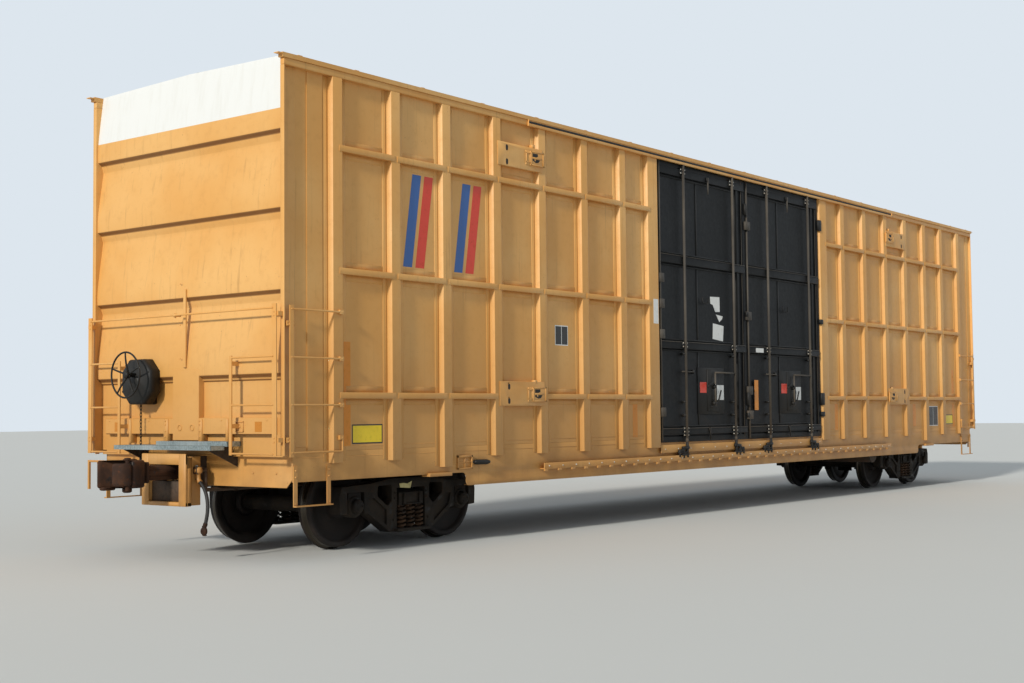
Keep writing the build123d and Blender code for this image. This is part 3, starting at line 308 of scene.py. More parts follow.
# Sand-cast steel: a pebbled skin, of sand 4 mm coarse so that it shows, under brake dust and old oil
castSteel = {
    "body": "#17130F", "dust": "#2A2219", "oil": "#0B0908", "rust": "#3A2415",
    "sources": {
        "patches": ("noise", 0.22, 5.0),
        "sand": ("noise", 0.012, 4.0, 0.7),
        "leaks": ("noise", 0.12, 3.0),
        "oily": ("mask", "leaks", 0.56, 0.68),
        "scale": ("noise", 0.05, 5.0, 0.7),
    },
    "layers": (
        ("dust", 1.0, ("patches", 0.35, 0.62)),
        ("oil", 0.75, ("oily",)),
        ("rust", 0.7, ("scale", 0.58, 0.72)),
    ),
    "sockets": {"Specular IOR Level": 0.3, "Roughness": ("oily", 0.82, 0.45)},
    "relief": ("sand", 0.0014),
}
castFinish = makeFinish("castSteelSanded", castSteel)
couplerFinish = makeFinish("castSteelRusted", variant(castSteel, body="#2C1A10", dust="#452A18", rust="#5A3219"))
springFinish = makeFinish("springSteelRusted", variant(castSteel, body="#2E2014", dust="#4A3422", rust="#5C3A20"))

# Rolled wheel steel: brown rust on web and rim, bright where the rail rubs the tread
wheelSteel = {
    "body": "#20150E", "dark": "#130D09", "dust": "#32251A", "bright": "#4A443C",
    "sources": {
        "rubbed": ("attribute", "rubbed"),
        "patches": ("noise", 0.18, 5.0),
        "fine": ("noise", 0.012, 5.0, 0.65),
        "rubbedFine": ("sum", "rubbed", 1.0, "fine", 0.3),
        "shine": ("mask", "rubbedFine", 0.55, 0.75),
    },
    "layers": (
        ("dark", 1.0, ("patches", 0.3, 0.66)),
        ("dust", 0.5, ("fine", 0.52, 0.72)),
        ("bright", 1.0, ("shine",)),
    ),
    "sockets": {"Metallic": ("shine", 0.15, 0.95), "Roughness": ("shine", 0.75, 0.27)},
    "relief": ("fine", 0.0009),
}
wheelFinish = makeFinish("wheelSteelRolled", wheelSteel)

# Underframe primer: the body colour long buried in road dust, and a near-black copy of it that is laid as painted shade
# in holes and grooves
frameSteel = {
    "body": "#4A3420", "dust": "#3A2E22", "soot": "#171310",
    "sources": {"patches": ("noise", 0.45, 5.0), "fine": ("noise", 0.04, 5.0, 0.65)},
    "layers": (("dust", 1.0, ("patches", 0.34, 0.66)), ("soot", 0.6, ("fine", 0.45, 0.75))),
    "sockets": {"Roughness": ("fine", 0.6, 0.9)},
    "relief": ("fine", 0.001),
}
underPaint = makeFinish("primerUnderDust", frameSteel)
shadowFinish = makeFinish("primerInShadow", variant(frameSteel, body="#1A1510", dust="#241D16", soot="#0D0B09"))

# Hot-dip galvanised sheet: grey-blue spangle 18 mm across, with white bloom and rust at the laps
zinc = {
    "body": "#84908F", "light": "#A3AFB1", "bloom": "#BDC4C3", "rust": "#6A4A31",
    "sources": {
        "spangle": ("crystals", 0.018),
        "patches": ("noise", 0.5, 5.0),
        "scale": ("noise", 0.13, 6.0, 0.7),
    },
    "layers": (("light", 1.0, ("spangle",)), ("bloom", 0.6, ("patches", 0.45, 0.7))),
    "sockets": {"Metallic": 0.55, "Roughness": ("patches", 0.38, 0.62)},
    "relief": ("spangle", 0.0003),
}
rusting = ("scale", 0.6, 0.72)
deckFinish = makeFinish("galvanisedGrating", variant(zinc, layers=(("rust", 0.15, rusting),)))
studs = variant(zinc, layers=(("rust", 0.2, rusting),), light="#D8CFC0", body="#A89A86")
brightZinc = makeFinish("zincPlatedStuds", studs)

# The roof is galvanised on top, and its eaves are sprayed with the body colour
roofSources = {
    "sheet": ("sum", "waves", 0.3, "fine", 0.12),
    "upward": ("slope",),
    "above": ("mask", "upward", -0.3, -0.1),
    "aside": ("distance", "Y"),
    "inboard": ("mask", "aside", 1.53, 1.5),
    "bare": ("product", "above", "inboard"),
    "crystal": ("crystalEdges", 0.018),
    "stains": ("noise", 0.4, 6.0, 0.65),
}
roofLayers = (
    ("zincDark", 1.0, ("bare",)),
    ("zincLight", 1.0, ("crystal",), ("bare",)),
    ("zincRust", 0.55, ("stains", 0.5, 0.75), ("bare",)),
)
roofTones = {"zincDark": zinc["body"], "zincLight": zinc["light"], "zincRust": zinc["rust"]}
roofSheet = variant(enamel, roofSources, roofLayers, **roofTones)
roofSheet["sockets"] = {**enamel["sockets"], "Metallic": ("bare", 0.0, 0.5)}
roofFinish = makeFinish("roofSheetGalvanised", roofSheet)

# Nailable oak planks 140 mm wide, seen only where the doors are open
planks = {
    "body": "#4A3322", "brown": "#7C5C3D", "pale": "#94724E", "dark": "#3B2A1C",
    "sources": {"grain": ("noise", 0.02, 6.0, 0.6, (1, 0.08, 1)), "boards": ("planks", 0.14)},
    "layers": (
        ("brown", 1.0, ("grain", 0.25, 0.55)), ("pale", 1.0, ("grain", 0.55, 0.8)), ("dark", 0.2, ("boards",)),
    ),
    "sockets": {"Roughness": ("grain", 0.6, 0.85)},
    "relief": ("grain", 0.001),
}
floorFinish = makeFinish("oakPlankNailed", planks)


def filmOn(name, body, worn, gloss=0.35):  # printed vinyl film, a little scratched, with dirt at its edges
    sources = {"scuffs": ("noise", 0.05, 5.0, 0.7), "wear": ("mask", "scuffs", 0.5, 0.75), "skin": ("noise", 0.01, 3.0)}
    film = {"body": body, "worn": worn, "sources": sources, "layers": (("worn", 0.45, ("wear",)),)}
    return makeFinish(name, {**film, "sockets": {"Roughness": ("wear", gloss, 0.7)}, "relief": ("skin", 0.0002)})


orangeFilm = filmOn("prismFilmOrange", "#B8741C", "#98601E")
reflectiveFilm = filmOn("prismFilmAmber", "#D4820C", "#B07016")
placardFilm = filmOn("vinylFilmYellow", "#EBCB20", "#B0A030")
blackFilm = filmOn("vinylFilmBlack", "#1B1A18", "#4A4338")
whiteFilm = filmOn("paperLabelWhite", "#E6E6E2", "#B8B4AA", 0.6)
redFilm = filmOn("vinylFilmRed", "#DA3E24", "#A8482E")
blueFilm = filmOn("vinylFilmBlue", "#2F5FA3", "#6C7484")
rubberFinish = filmOn("rubberMoulded", "#1A1918", "#3A342D", 0.6)
paleChip = filmOn("crayonPaintPale", "#CFC48A", "#8A7C50", 0.6)

# The nodes that show as they are; the others take the underframe's paint
surfaceOf = {"roof": roofFinish, "floor": floorFinish, "side_sheets": enamelPaint}
surfaceOf.update({name: trimPaint for name in ("side_ladders", "end_ladders", "sill_steps", "uncoupling_levers")})
surfaceOf.update({f"axle_{number}": castFinish for number in (1, 2, 3, 4)})
for name, node in nodes.items():
    node.data.materials.clear()
    node.data.materials.append(surfaceOf.get(name, underPaint))
print("finishes on", len(nodes), "nodes")


# Mesh helpers: a shape is a pair, its points and its faces
def setPiece(name, mesh, material, body, stands=()):
    piece = bpy.data.objects.new(name, mesh)
    bpy.context.scene.collection.objects.link(piece)
    mesh.materials.append(material)
    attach(piece, body)
    if stands:
        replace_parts(piece, *stands)
    return piece


def addPiece(name, shape, material, body="carbody", smooth=True, sharp=None, stands=()):
    points, faces = shape
    mesh = bpy.data.meshes.new(name)
    mesh.from_pydata(np.asarray(points, float).tolist(), [], [list(map(int, face)) for face in faces])
    mesh.update()
    mesh.polygons.foreach_set("use_smooth", np.full(len(mesh.polygons), smooth))
    if sharp:
        mesh.set_sharp_from_angle(angle=math.radians(sharp))
    return setPiece(name, mesh, material, body, stands)


def gridFaces(rows, columns, closedRows=False, closedColumns=False):
    # quads of a grid of rows by columns points, each direction open or joined up
    r = np.arange(rows if closedRows else rows - 1)
    c = np.arange(columns if closedColumns else columns - 1)
    a, b = np.meshgrid(r, c, indexing="ij")
    a2, b2 = (a + 1) % rows, (b + 1) % columns
    return np.stack([a * columns + b, a * columns + b2, a2 * columns + b2, a2 * columns + b], -1).reshape(-1, 4)


def joined(parts):
    points, faces, start = [], [], 0
    for p, f in parts:
        points.append(np.asarray(p, float))
        faces += [[int(i) + start for i in face] for face in f]
        start += len(p)
    return np.concatenate(points), faces


def mirrored(part, axis):  # the same shape on the other side, with its faces turned back outwards
    flip = np.ones(3)
    flip[axis] = -1
    return np.asarray(part[0]) * flip, [list(face)[::-1] for face in part[1]]


def turned(part, end=-1):  # at the hand brake end or on the far side the shape is turned half round
    return (np.asarray(part[0]) * (-1, -1, 1), part[1]) if end < 0 else part


def doubled(part):
    return joined([part, turned(part)])


def moved(part, x=0.0, y=0.0, z=0.0):
    return np.asarray(part[0]) + (x, y, z), part[1]


def circle(count, first=0.0, last=2 * math.pi):
    angle = np.linspace(first, last, count, endpoint=last < 2 * math.pi)
    return np.cos(angle), np.sin(angle)


def turnProfile(profile, centre, steps, axis="Y"):
    # a profile of (radius, along) carried round an axis: point = centre + radius*(cos, sin) + along
    profile = np.asarray(profile, float)
    radius, along = profile[:, 0][None, :], profile[:, 1][None, :]
    c, s = (value[:, None] for value in circle(steps))
    flat = np.broadcast_to(along, (steps, len(profile)))
    a, b = radius * c, radius * s
    order = {"Y": (a, flat, b), "X": (flat, b, a), "Z": (b, a, flat)}
    points = np.stack(order[axis], -1).reshape(-1, 3) + np.asarray(centre)
    return points, gridFaces(steps, len(profile), closedRows=True)


def tube(path, radius, sides=10, closed=False):
    # a ring of points carried along a path, held upright by a frame that turns with the path
    path = np.asarray(path, float)
    ahead = np.roll(path, -1, 0) - np.roll(path, 1, 0) if closed else np.gradient(path, axis=0)
    ahead /= np.linalg.norm(ahead, axis=1)[:, None]
    hint = np.array([0.0, 0.0, 1.0]) if np.abs(ahead[:, 2]).max() < 0.9 else np.array([0.31, 0.95, 0.05])
    side = np.cross(ahead, hint)
    side /= np.linalg.norm(side, axis=1)[:, None]
    up = np.cross(side, ahead)
    c, s = (value[None, :, None] for value in circle(sides))
    radii = np.broadcast_to(np.asarray(radius, float), len(path))[:, None, None]
    points = (path[:, None, :] + radii * (side[:, None, :] * c + up[:, None, :] * s)).reshape(-1, 3)
    faces = gridFaces(len(path), sides, closedRows=closed, closedColumns=True).tolist()
    if not closed:
        last = (len(path) - 1) * sides
        faces += [list(range(sides))[::-1], list(range(last, last + sides))]
    return points, faces


def tubes(rows, x=0.0):  # rows of path, radius and sides
    return [tube(np.array(path) + (x, 0, 0), radius, sides) for path, radius, sides in rows]


def block(x0, x1, y0, y1, z0, z1, bevel=0.0):
    # a box with its edges cut back by bevel: four rings of eight points round Z, closed top and bottom
    cut = min(bevel, 0.49 * min(x1 - x0, y1 - y0, z1 - z0))
    if cut <= 0:
        points = [(x, y, z) for z in (z0, z1) for x, y in ((x0, y0), (x1, y0), (x1, y1), (x0, y1))]
        return np.array(points), [[3, 2, 1, 0], [4, 5, 6, 7], [0, 1, 5, 4], [1, 2, 6, 5], [2, 3, 7, 6], [3, 0, 4, 7]]
    rings = []
    for z, inset in ((z0, cut), (z0 + cut, 0.0), (z1 - cut, 0.0), (z1, cut)):
        a, near, far, left, right = cut + inset, y0 + inset, y1 - inset, x0 + inset, x1 - inset
        ring = [(x0 + a, near), (x1 - a, near), (right, y0 + a), (right, y1 - a)]
        ring += [(x1 - a, far), (x0 + a, far), (left, y1 - a), (left, y0 + a)]
        rings += [(x, y, z) for x, y in ring]
    return np.array(rings), gridFaces(4, 8, closedColumns=True).tolist() + [list(range(8))[::-1], list(range(24, 32))]


def blocks(rows, x=0.0, y=0.0, z=0.0):  # rows of x from, x to, y from, y to, z from, z to, bevel
    return [block(x + a, x + b, y + c, y + d, z + e, z + f, bevel) for a, b, c, d, e, f, bevel in rows]


def slab(outline, axis, low, high):
    # a flat outline carried straight along one axis, its two other coordinates in the order x, y, z
    flat = np.asarray(outline, float)
    area = np.sum(flat[:, 0] * np.roll(flat[:, 1], -1) - np.roll(flat[:, 0], -1) * flat[:, 1])
    if (area < 0) != (axis == "Y"):
        flat = flat[::-1]
    count = len(flat)
    layers = [np.insert(flat, "XYZ".index(axis), level, axis=1) for level in (low, high)]
    faces = [list(range(count))[::-1], list(range(count, 2 * count))]
    faces += [[k, (k + 1) % count, (k + 1) % count + count, k + count] for k in range(count)]
    return np.concatenate(layers), faces


def cutCorners(outline, rounds=2, closed=True):
    # each round puts new points at a quarter and three quarters of every side, so corners turn to smooth bends
    line = np.asarray(outline, float)
    for _ in range(rounds):
        ahead = np.roll(line, -1, 0) if closed else line[1:]
        here = line if closed else line[:-1]
        cut = np.stack([0.75 * here + 0.25 * ahead, 0.25 * here + 0.75 * ahead], 1).reshape(-1, line.shape[1])
        line = cut if closed else np.vstack([line[:1], cut, line[-1:]])
    return line


def casting(outline, middle, half, edge):
    # a flat outline in X and Y grown from bottom to top, drawn in along its own normals near both faces
    flat = np.asarray(outline, float)
    if np.sum(flat[:, 0] * np.roll(flat[:, 1], -1) - np.roll(flat[:, 0], -1) * flat[:, 1]) < 0:
        flat = flat[::-1]
    along = np.roll(flat, -1, 0) - np.roll(flat, 1, 0)
    normal = np.column_stack([along[:, 1], -along[:, 0]]) / np.linalg.norm(along, axis=1)[:, None]
    rim = ((half, edge), (half - edge * 0.3, edge * 0.3), (half - edge, 0.0))
    layers = [(-height, inset) for height, inset in rim] + list(rim[::-1])
    rings = [np.column_stack([flat - normal * inset, np.full(len(flat), middle + height)]) for height, inset in layers]
    count = len(flat)
    faces = gridFaces(6, count, closedColumns=True).tolist()
    return np.concatenate(rings), faces + [list(range(count))[::-1], list(range(5 * count, 6 * count))]


def dome(place, outward, radius, height, sides=6):
    # a button head: three rings and a crown point, standing on a face whose outward side is given
    outward = np.asarray(outward, float)
    hint = np.array([0.0, 0.0, 1.0]) if abs(outward[2]) < 0.9 else np.array([1.0, 0.0, 0.0])
    side = np.cross(outward, hint)
    c, s = (value[:, None] for value in circle(sides))
    ring = side * c + np.cross(side, outward) * s
    points = [place + ring * radius * r + outward * height * h for r, h in ((1.0, 0.0), (0.92, 0.55), (0.5, 0.95))]
    faces = gridFaces(3, sides, closedColumns=True)[:, ::-1].tolist()
    faces += [[2 * sides + (i + 1) % sides, 2 * sides + i, 3 * sides] for i in range(sides)]
    return np.vstack([*points, place + outward * height]), faces


# Gladhands: a ferrule on the hose, a neck and a round casting with a raised gasket seat and a locking lug
gladhand = {
    "reach": (0.0, 0.004, 0.03, 0.034, 0.055, 0.085),  # along the hose's end
    "neck": (0.0215, 0.0235, 0.0235, 0.02, 0.019, 0.022),  # radius at each
    "head": (  # radius, along
        (0.0, -0.018), (0.035, -0.018), (0.043, -0.012), (0.043, 0.008), (0.034, 0.018), (0.027, 0.018), (0.027, 0.021),
        (0.019, 0.021), (0.019, 0.012), (0.0, 0.012),
    ),
    "lugs": ((-0.012, 0.012, -0.02, 0.02, 0.037, 0.057, 0.004), (-0.014, 0.014, -0.034, 0.012, -0.049, -0.035, 0.004)),
}


def makeGladhand(g, letter, end):
    points = np.array(hosePoints(hose, end))
    ahead = (points[-1] - points[-2]) / np.linalg.norm(points[-1] - points[-2])
    neck = tube(points[-1] + ahead * np.array(g["reach"])[:, None], g["neck"], 20)
    x, y, z = points[-1] + ahead * g["reach"][-1]
    head = turnProfile(g["head"], (0, 0, 0), 32, "X")
    head = moved(head if end > 0 else mirrored(head, 0), x, y, z)
    shape = joined([neck, head, *blocks(g["lugs"], x, y, z)])
    piece = addPiece(f"gladhand_{letter}", shape, couplerFinish, stands=["gladhands"])
    hoses[letter].data.materials.append(rubberFinish)
    hosePoints(hose, end)[0]


for letter, end in ends:
    makeGladhand(gladhand, letter, end)
print("hoses hung")


# Wheels: a turned profile with flange, coned tread, rim, dished plate and hub
wheelShape = {
    "tread": 0.4572,
    "flange": 0.028,
    "lip": 0.0142,  # radius of the flange's round tip
    "rimWidth": 0.145,
    "rimDepth": 0.062,
    "back": 0.678,
    "bore": 0.0882,
    "hub": 0.138,
    "plate": 0.024,
    "dish": 0.03,
    "steps": 112,
}


def wheelProfile(w):
    # (radius, distance from the back face): hub face, dished plate, rim, tread at 1 in 20, rounded flange, back
    t, f, lip, front, hub, bore = (w[key] for key in ("tread", "flange", "lip", "rimWidth", "hub", "bore"))
    rim = t - w["rimDepth"]
    plateOut = [
        (hub + 0.018 + s * (rim - hub - 0.03), 0.088 - w["dish"] * math.sin(math.pi * s) - 0.012 * (1 - s))
        for s in np.linspace(0, 1, 10)
    ]
    plateIn = [(r, a - w["plate"] - 0.012) for r, a in plateOut]
    swing = np.linspace(0, math.pi, 13)[10:1:-1]
    flange = [(t + f - lip + lip * math.sin(a), lip - lip * math.cos(a)) for a in swing]
    return [
        (bore, front + 0.012), (hub - 0.006, front + 0.012), (hub, front + 0.006), (hub + 0.01, 0.09), *plateOut,
        (rim, 0.098), (rim + 0.004, front), (t - 0.01, front), (t - 0.003, front - 0.006), (t, 0.06),
        (t + 0.001, 0.038), (t + 0.008, 0.031), *flange, (t + 0.012, 0.0), (rim + 0.006, 0.0), (rim, 0.006),
        (rim, 0.04), *plateIn, (hub, 0.04), (hub, 0.004), (bore, 0.004), (bore, front + 0.012),
    ]


def makeWheels(number, w):
    low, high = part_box(f"axle_{number}")
    centre = [(low.x + high.x) / 2, 0, (low.z + high.z) / 2]
    near = turnProfile([(radius, along + w["back"]) for radius, along in wheelProfile(w)], centre, w["steps"])
    shape = joined([near, mirrored(near, 1)])
    body, name = f"wheelset_{number}", f"wheels_{number}"
    piece = addPiece(f"wheelPair_{number}", shape, wheelFinish, body, stands=[name])
    reach = np.hypot(shape[0][:, 0] - centre[0], shape[0][:, 2] - centre[2])
    out = np.abs(shape[0][:, 1]) - w["back"]
    rubbed = ((reach > w["tread"] - 0.002) & (out > 0.03) & (out < w["rimWidth"] - 0.008)).astype(np.float32)
    piece.data.attributes.new("rubbed", "FLOAT", "POINT").data.foreach_set("value", rubbed)


for number in (1, 2, 3, 4):
    makeWheels(number, wheelShape)
print("wheels turned")


# Cast pieces and pressed sheets: the plain solid with its edges rounded as the mould or the press leaves them
castNodes = [f"{kind}_{letter}" for kind in ("truck_bolster", "bearings", "brake_beams") for letter in "ba"]
doorNodes = [f"door_{side}_{hand}" for side in ("near", "far") for hand in ("left", "right")]
softened = (  # radius, surface, slot, nodes
    (0.012, castFinish, "cast_truck_steel", ("side_frames_b", "side_frames_a")),
    (0.01, castFinish, "cast_truck_steel", castNodes),
    (0.009, enamelPaint, "yellow_body_paint", ("side_posts", "door_posts", "side_ribs", "corner_posts", "side_sills")),
    (0.006, trimPaint, "yellow_body_paint", ("top_chords", "door_stops", "door_tracks")),
    (0.006, trimPaint, "yellow_body_paint", ("jacking_pads", "end_sills", "strikers")),
    (0.006, doorPaint, "black_door_paint", doorNodes),
)


def soften(name, edge, surface):
    mesh = bpy.data.meshes.new(f"{name}_rounded")
    work = bmesh.new()
    work.from_mesh(nodes[name].data)
    bmesh.ops.remove_doubles(work, verts=work.verts, dist=1e-5)
    bmesh.ops.dissolve_limit(work, angle_limit=math.radians(1), verts=work.verts, edges=work.edges)
    work.to_mesh(mesh)
    work.free()
    mesh.polygons.foreach_set("use_smooth", np.full(len(mesh.polygons), True))
    piece = setPiece(f"{name}_rounded", mesh, surface, nodes[name]["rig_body"], [name])
    rounding = piece.modifiers.new("roundedEdges", "BEVEL")
    rounding.width, rounding.segments = edge, 2
    rounding.limit_method, rounding.angle_limit = "ANGLE", math.radians(28)
    rounding.harden_normals = True


for edge, surface, slot, names in softened:
    for name in names:
        soften(name, edge, surface)
print("edges rounded")


# End walls: one pressed profile carried across the car, with a gable cut at its top and a notch at its feet
endWallShape = {
    "inner": 9.258,
    "plane": 9.35,
    "proud": 0.075,
    "bottom": 1.088,
    "half": 1.535,
    "notch": (1.448, 1.118),  # beyond this y the wall starts at this height
    "gable": (5.14, 5.172),  # height at the corners and in the middle
    "crests": (  # top, bottom, foot
        (4.59, 4.372, 4.266), (3.768, 3.572, 3.47), (2.923, 2.745, 2.642), (2.08, 1.907, 1.84),
    ),
    "fold": ((1.0, 1, 0.015), (0.94, 1, 0), (0.34, 1, -0.028), (0.26, 1, -0.05), (0.03, 2, 0.006), (0, 2, -0.004)),
    "beams": (  # cross beam, centre plate and the strip above it
        (9.34, 9.42, -1.38, 1.38, 1.294, 1.47, 0.009), (9.34, 9.428, -0.183, 0.247, 1.228, 1.988, 0.007),
        (9.425, 9.445, 0.012, 0.052, 2.002, 2.838, 0.003),
    ),
}


def makeEndWall(w, letter, end):
    # under each crest the sheet turns in almost level, then slopes evenly down to the flat of the wall
    crown, plane, half = w["gable"][1], w["plane"], w["half"]
    outer = [(plane, crown)]
    for crest in w["crests"]:
        outer += [(plane + w["proud"] * share, crest[at] + up) for share, at, up in ((1.0, 0, 0.0), *w["fold"])]
    outer = cutCorners(outer + [(plane, w["bottom"])], 2, closed=False)
    profile = np.vstack([outer, [(w["inner"], w["bottom"]), (w["inner"], crown)]])
    notchY, notchZ = w["notch"]
    out = [0.75, notchY - 1e-4, notchY + 1e-4, half]
    ys = np.array([-y for y in out[::-1]] + [0.0] + out)
    top = crown - (crown - w["gable"][0]) * np.abs(ys) / half
    foot = np.where(np.abs(ys) > notchY, notchZ, w["bottom"])
    z = np.clip(profile[None, :, 1], foot[:, None], top[:, None])
    x = np.broadcast_to(profile[None, :, 0], z.shape)
    points = np.stack([x, np.broadcast_to(ys[:, None], z.shape), z], -1).reshape(-1, 3)
    count = len(profile)
    faces = gridFaces(len(ys), count, closedColumns=True)[:, ::-1].tolist()
    last = (len(ys) - 1) * count
    faces += [list(range(count)), list(range(last, last + count))[::-1]]
    shape = turned(joined([(points, faces), *blocks(w["beams"])]), end)
    name = f"end_wall_{letter}"
    addPiece(f"endWall_{letter}_pressed", shape, bandedPaint, sharp=32, stands=[name])


# Couplers: a ribbed shank with its horn, a head with a curved guard arm, and a knuckle on a pin
couplerShape = {
    "pull": (10.3, 0.0, 0.904),
    "head": (
        (-0.34, -0.066), (-0.27, -0.15), (-0.12, -0.205), (0.05, -0.221), (0.052, -0.19), (-0.02, -0.16),
        (-0.09, -0.11), (-0.14, -0.045), (-0.142, 0.03), (-0.118, 0.066), (-0.106, 0.12), (-0.102, 0.166),
        (-0.16, 0.168), (-0.23, 0.156), (-0.34, 0.066),
    ),
    "shank": (  # shank, horn, its two ribs, and what stands on and under the head
        (-1.21, -0.3, -0.065, 0.065, -0.075, 0.075, 0.014), (-0.365, -0.335, -0.1, 0.1, -0.1, 0.118, 0.01),
        (-0.72, -0.37, -0.078, -0.062, -0.03, 0.03, 0.006), (-0.72, -0.37, 0.062, 0.078, -0.03, 0.03, 0.006),
        (-0.25, -0.14, -0.07, 0.06, 0.125, 0.152, 0.01), (-0.2, -0.12, -0.04, 0.04, -0.19, -0.13, 0.012),
        (-0.12, 0.03, -0.21, -0.13, -0.165, -0.13, 0.01),
    ),
    "knuckle": (
        (-0.106, 0.072), (-0.1, 0.168), (-0.055, 0.175), (0.0, 0.15), (0.026, 0.11), (0.036, 0.03), (0.018, -0.008),
        (-0.01, -0.012), (-0.038, 0.0), (-0.046, 0.05),
    ),
    "pin": ((0.0, -0.165), (0.021, -0.165), (0.021, 0.15), (0.032, 0.15), (0.032, 0.168), (0.0, 0.172)),
    "pinAt": (-0.072, 0.125),
}


def makeCoupler(c, letter, end):
    x, y, z = c["pull"]
    body = [casting(cutCorners(np.array(c["head"]) + (x, y)), z, 0.14, 0.02), *blocks(c["shank"], x, y, z)]
    knuckle = [casting(cutCorners(np.array(c["knuckle"]) + (x, y)), z, 0.113, 0.024)]
    knuckle.append(turnProfile(c["pin"], (x + c["pinAt"][0], c["pinAt"][1], z), 20, "Z"))
    for name, parts in ((f"coupler_{letter}", body), (f"knuckle_{letter}", knuckle)):
        shape, rides = turned(joined(parts), end), nodes[name]["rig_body"]
        addPiece(f"{name}_cast", shape, couplerFinish, rides, sharp=50, stands=[name])


for letter, end in ends:
    makeEndWall(endWallShape, letter, end)
    makeCoupler(couplerShape, letter, end)
print("ends and couplers shaped")


# Spring nests: an outer coil and an inner one wound the other way, both ground flat at the ends
springShape = {
    "places": ((-0.145, 0.047), (0.0, 0.047), (0.145, 0.047), (-0.075, -0.088), (0.075, -0.088)),  # along, outwards
    "seat": 0.2,
    "tall": 0.26,
    "frameMiddle": 1.0025,
    "coils": ((0.0525, 0.0135, 5.6, 1), (0.0275, 0.0085, 8.4, -1)),  # mean radius, wire radius, turns, hand
    "sides": 8,
    "perTurn": 20,
}


def coil(x, y, s, meanRadius, wire, turns, hand):
    # height rises slowly over the first and last three quarters of a turn, and evenly between them
    share = np.linspace(0, 1, int(turns * s["perTurn"]) + 1)
    flat = 0.75 / turns
    eased = np.clip((share - flat / 2) / (1 - flat), 0, 1)
    height = s["seat"] + wire + (s["tall"] - 2 * wire) * eased
    angle = hand * share * turns * 2 * math.pi
    path = np.column_stack([x + meanRadius * np.cos(angle), y + meanRadius * np.sin(angle), height])
    return tube(path, wire, s["sides"])


# Bearing seals and axle end caps, with three bolts in each cap
capShape = {
    "cap": ((0.0, 1.139), (0.05328, 1.139), (0.074, 1.131), (0.074, 1.117), (0.0, 1.117)),  # radius, across the car
    "seal": ((0.082, 1.062), (0.112, 1.062), (0.112, 1.072), (0.104, 1.08), (0.092, 1.082), (0.082, 1.084)),
    "bolts": (3, 0.043, 1.138, 0.013, 0.01),  # how many, circle, across, radius, height
}


def makeCaps(number, letter, c):
    low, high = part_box(f"axle_{number}")
    x, z = (low.x + high.x) / 2, (low.z + high.z) / 2
    count, reach, out, radius, height = c["bolts"]
    turning = [turnProfile(c["cap"], (x, 0, z), 36)]
    turning += [dome((x + reach * a, out, z + reach * b), (0, 1, 0), radius, height) for a, b in zip(*circle(count))]
    still = [turnProfile(c["seal"], (x, 0, z), 40)]
    for name, parts, body in (("axleCaps", turning, f"wheelset_{number}"), ("bearingSeals", still, f"truck_{letter}")):
        shape = joined([*parts, *(mirrored(part, 1) for part in parts)])
        addPiece(f"{name}_{number}", shape, castFinish, body)


# Truck details: bolster end windows, column bolts, brake push rods and hangers
truckTrim = {
    "columnBolts": ((0.262, 0.60), (0.262, 0.54), (0.29, 0.30)),
    "window": (
        (-0.146, -0.114, 1.0855, 1.11, 0.475, 0.59, 0.004), (0.114, 0.146, 1.0855, 1.11, 0.475, 0.59, 0.004),
        (-0.15, 0.15, 1.0855, 1.1, 0.462, 0.48, 0.004),
    ),
    "hangers": ((-0.372, -0.348, -0.14, 0.14, 0.3, 0.42, 0.004), (0.348, 0.372, -0.14, 0.14, 0.3, 0.42, 0.004)),
    "rods": [(((-0.4, y, 0.38), (0, y, 0.35), (0.4, y, 0.38)), 0.014, 10) for y in (-0.11, 0.11)],
    "chip": (  # pale paint on one bolster end, x and z
        (-7.244, 0.703), (-7.181, 0.707), (-7.109, 0.697), (-7.035, 0.725), (-7.061, 0.645), (-7.234, 0.658),
    ),
}


def makeTruck(letter, s, t):
    low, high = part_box(f"side_frames_{letter}")
    x = (low.x + high.x) / 2
    near = blocks(t["window"], x)
    near += [dome((x + e * a, 1.0805, z), (0, 1, 0), 0.016, 0.012) for a, z in t["columnBolts"] for e in (-1, 1)]
    parts = [*near, *(mirrored(part, 1) for part in near), *tubes(t["rods"], x), *blocks(t["hangers"], x)]
    addPiece(f"truckTrim_{letter}", joined(parts), castFinish, f"truck_{letter}")
    low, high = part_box(f"springs_{letter}")
    x = (low.x + high.x) / 2
    spots = [(x + along, side * (s["frameMiddle"] + out)) for side in (-1, 1) for along, out in s["places"]]
    shape = joined([coil(*spot, s, *row) for spot in spots for row in s["coils"]])
    name = f"springs_{letter}"
    addPiece(f"springNests_{letter}", shape, springFinish, f"truck_{letter}", stands=[name])


for letter, numbers in (("b", (1, 2)), ("a", (3, 4))):
    makeTruck(letter, springShape, truckTrim)
    for number in numbers:
        makeCaps(number, letter, capShape)
chip = slab(truckTrim["chip"], "Y", -1.0862, -1.0845)
addPiece("bolsterMark", chip, paleChip, "truck_b", smooth=False)
print("trucks dressed")


def heads(rows, outward=(0, -1, 0)):  # bolt and rivet heads, rows of x places, y places, z places, radius, height
    return [dome((x, y, z), outward, *size) for xs, ys, zs, *size in rows for x in xs for y in ys for z in zs]


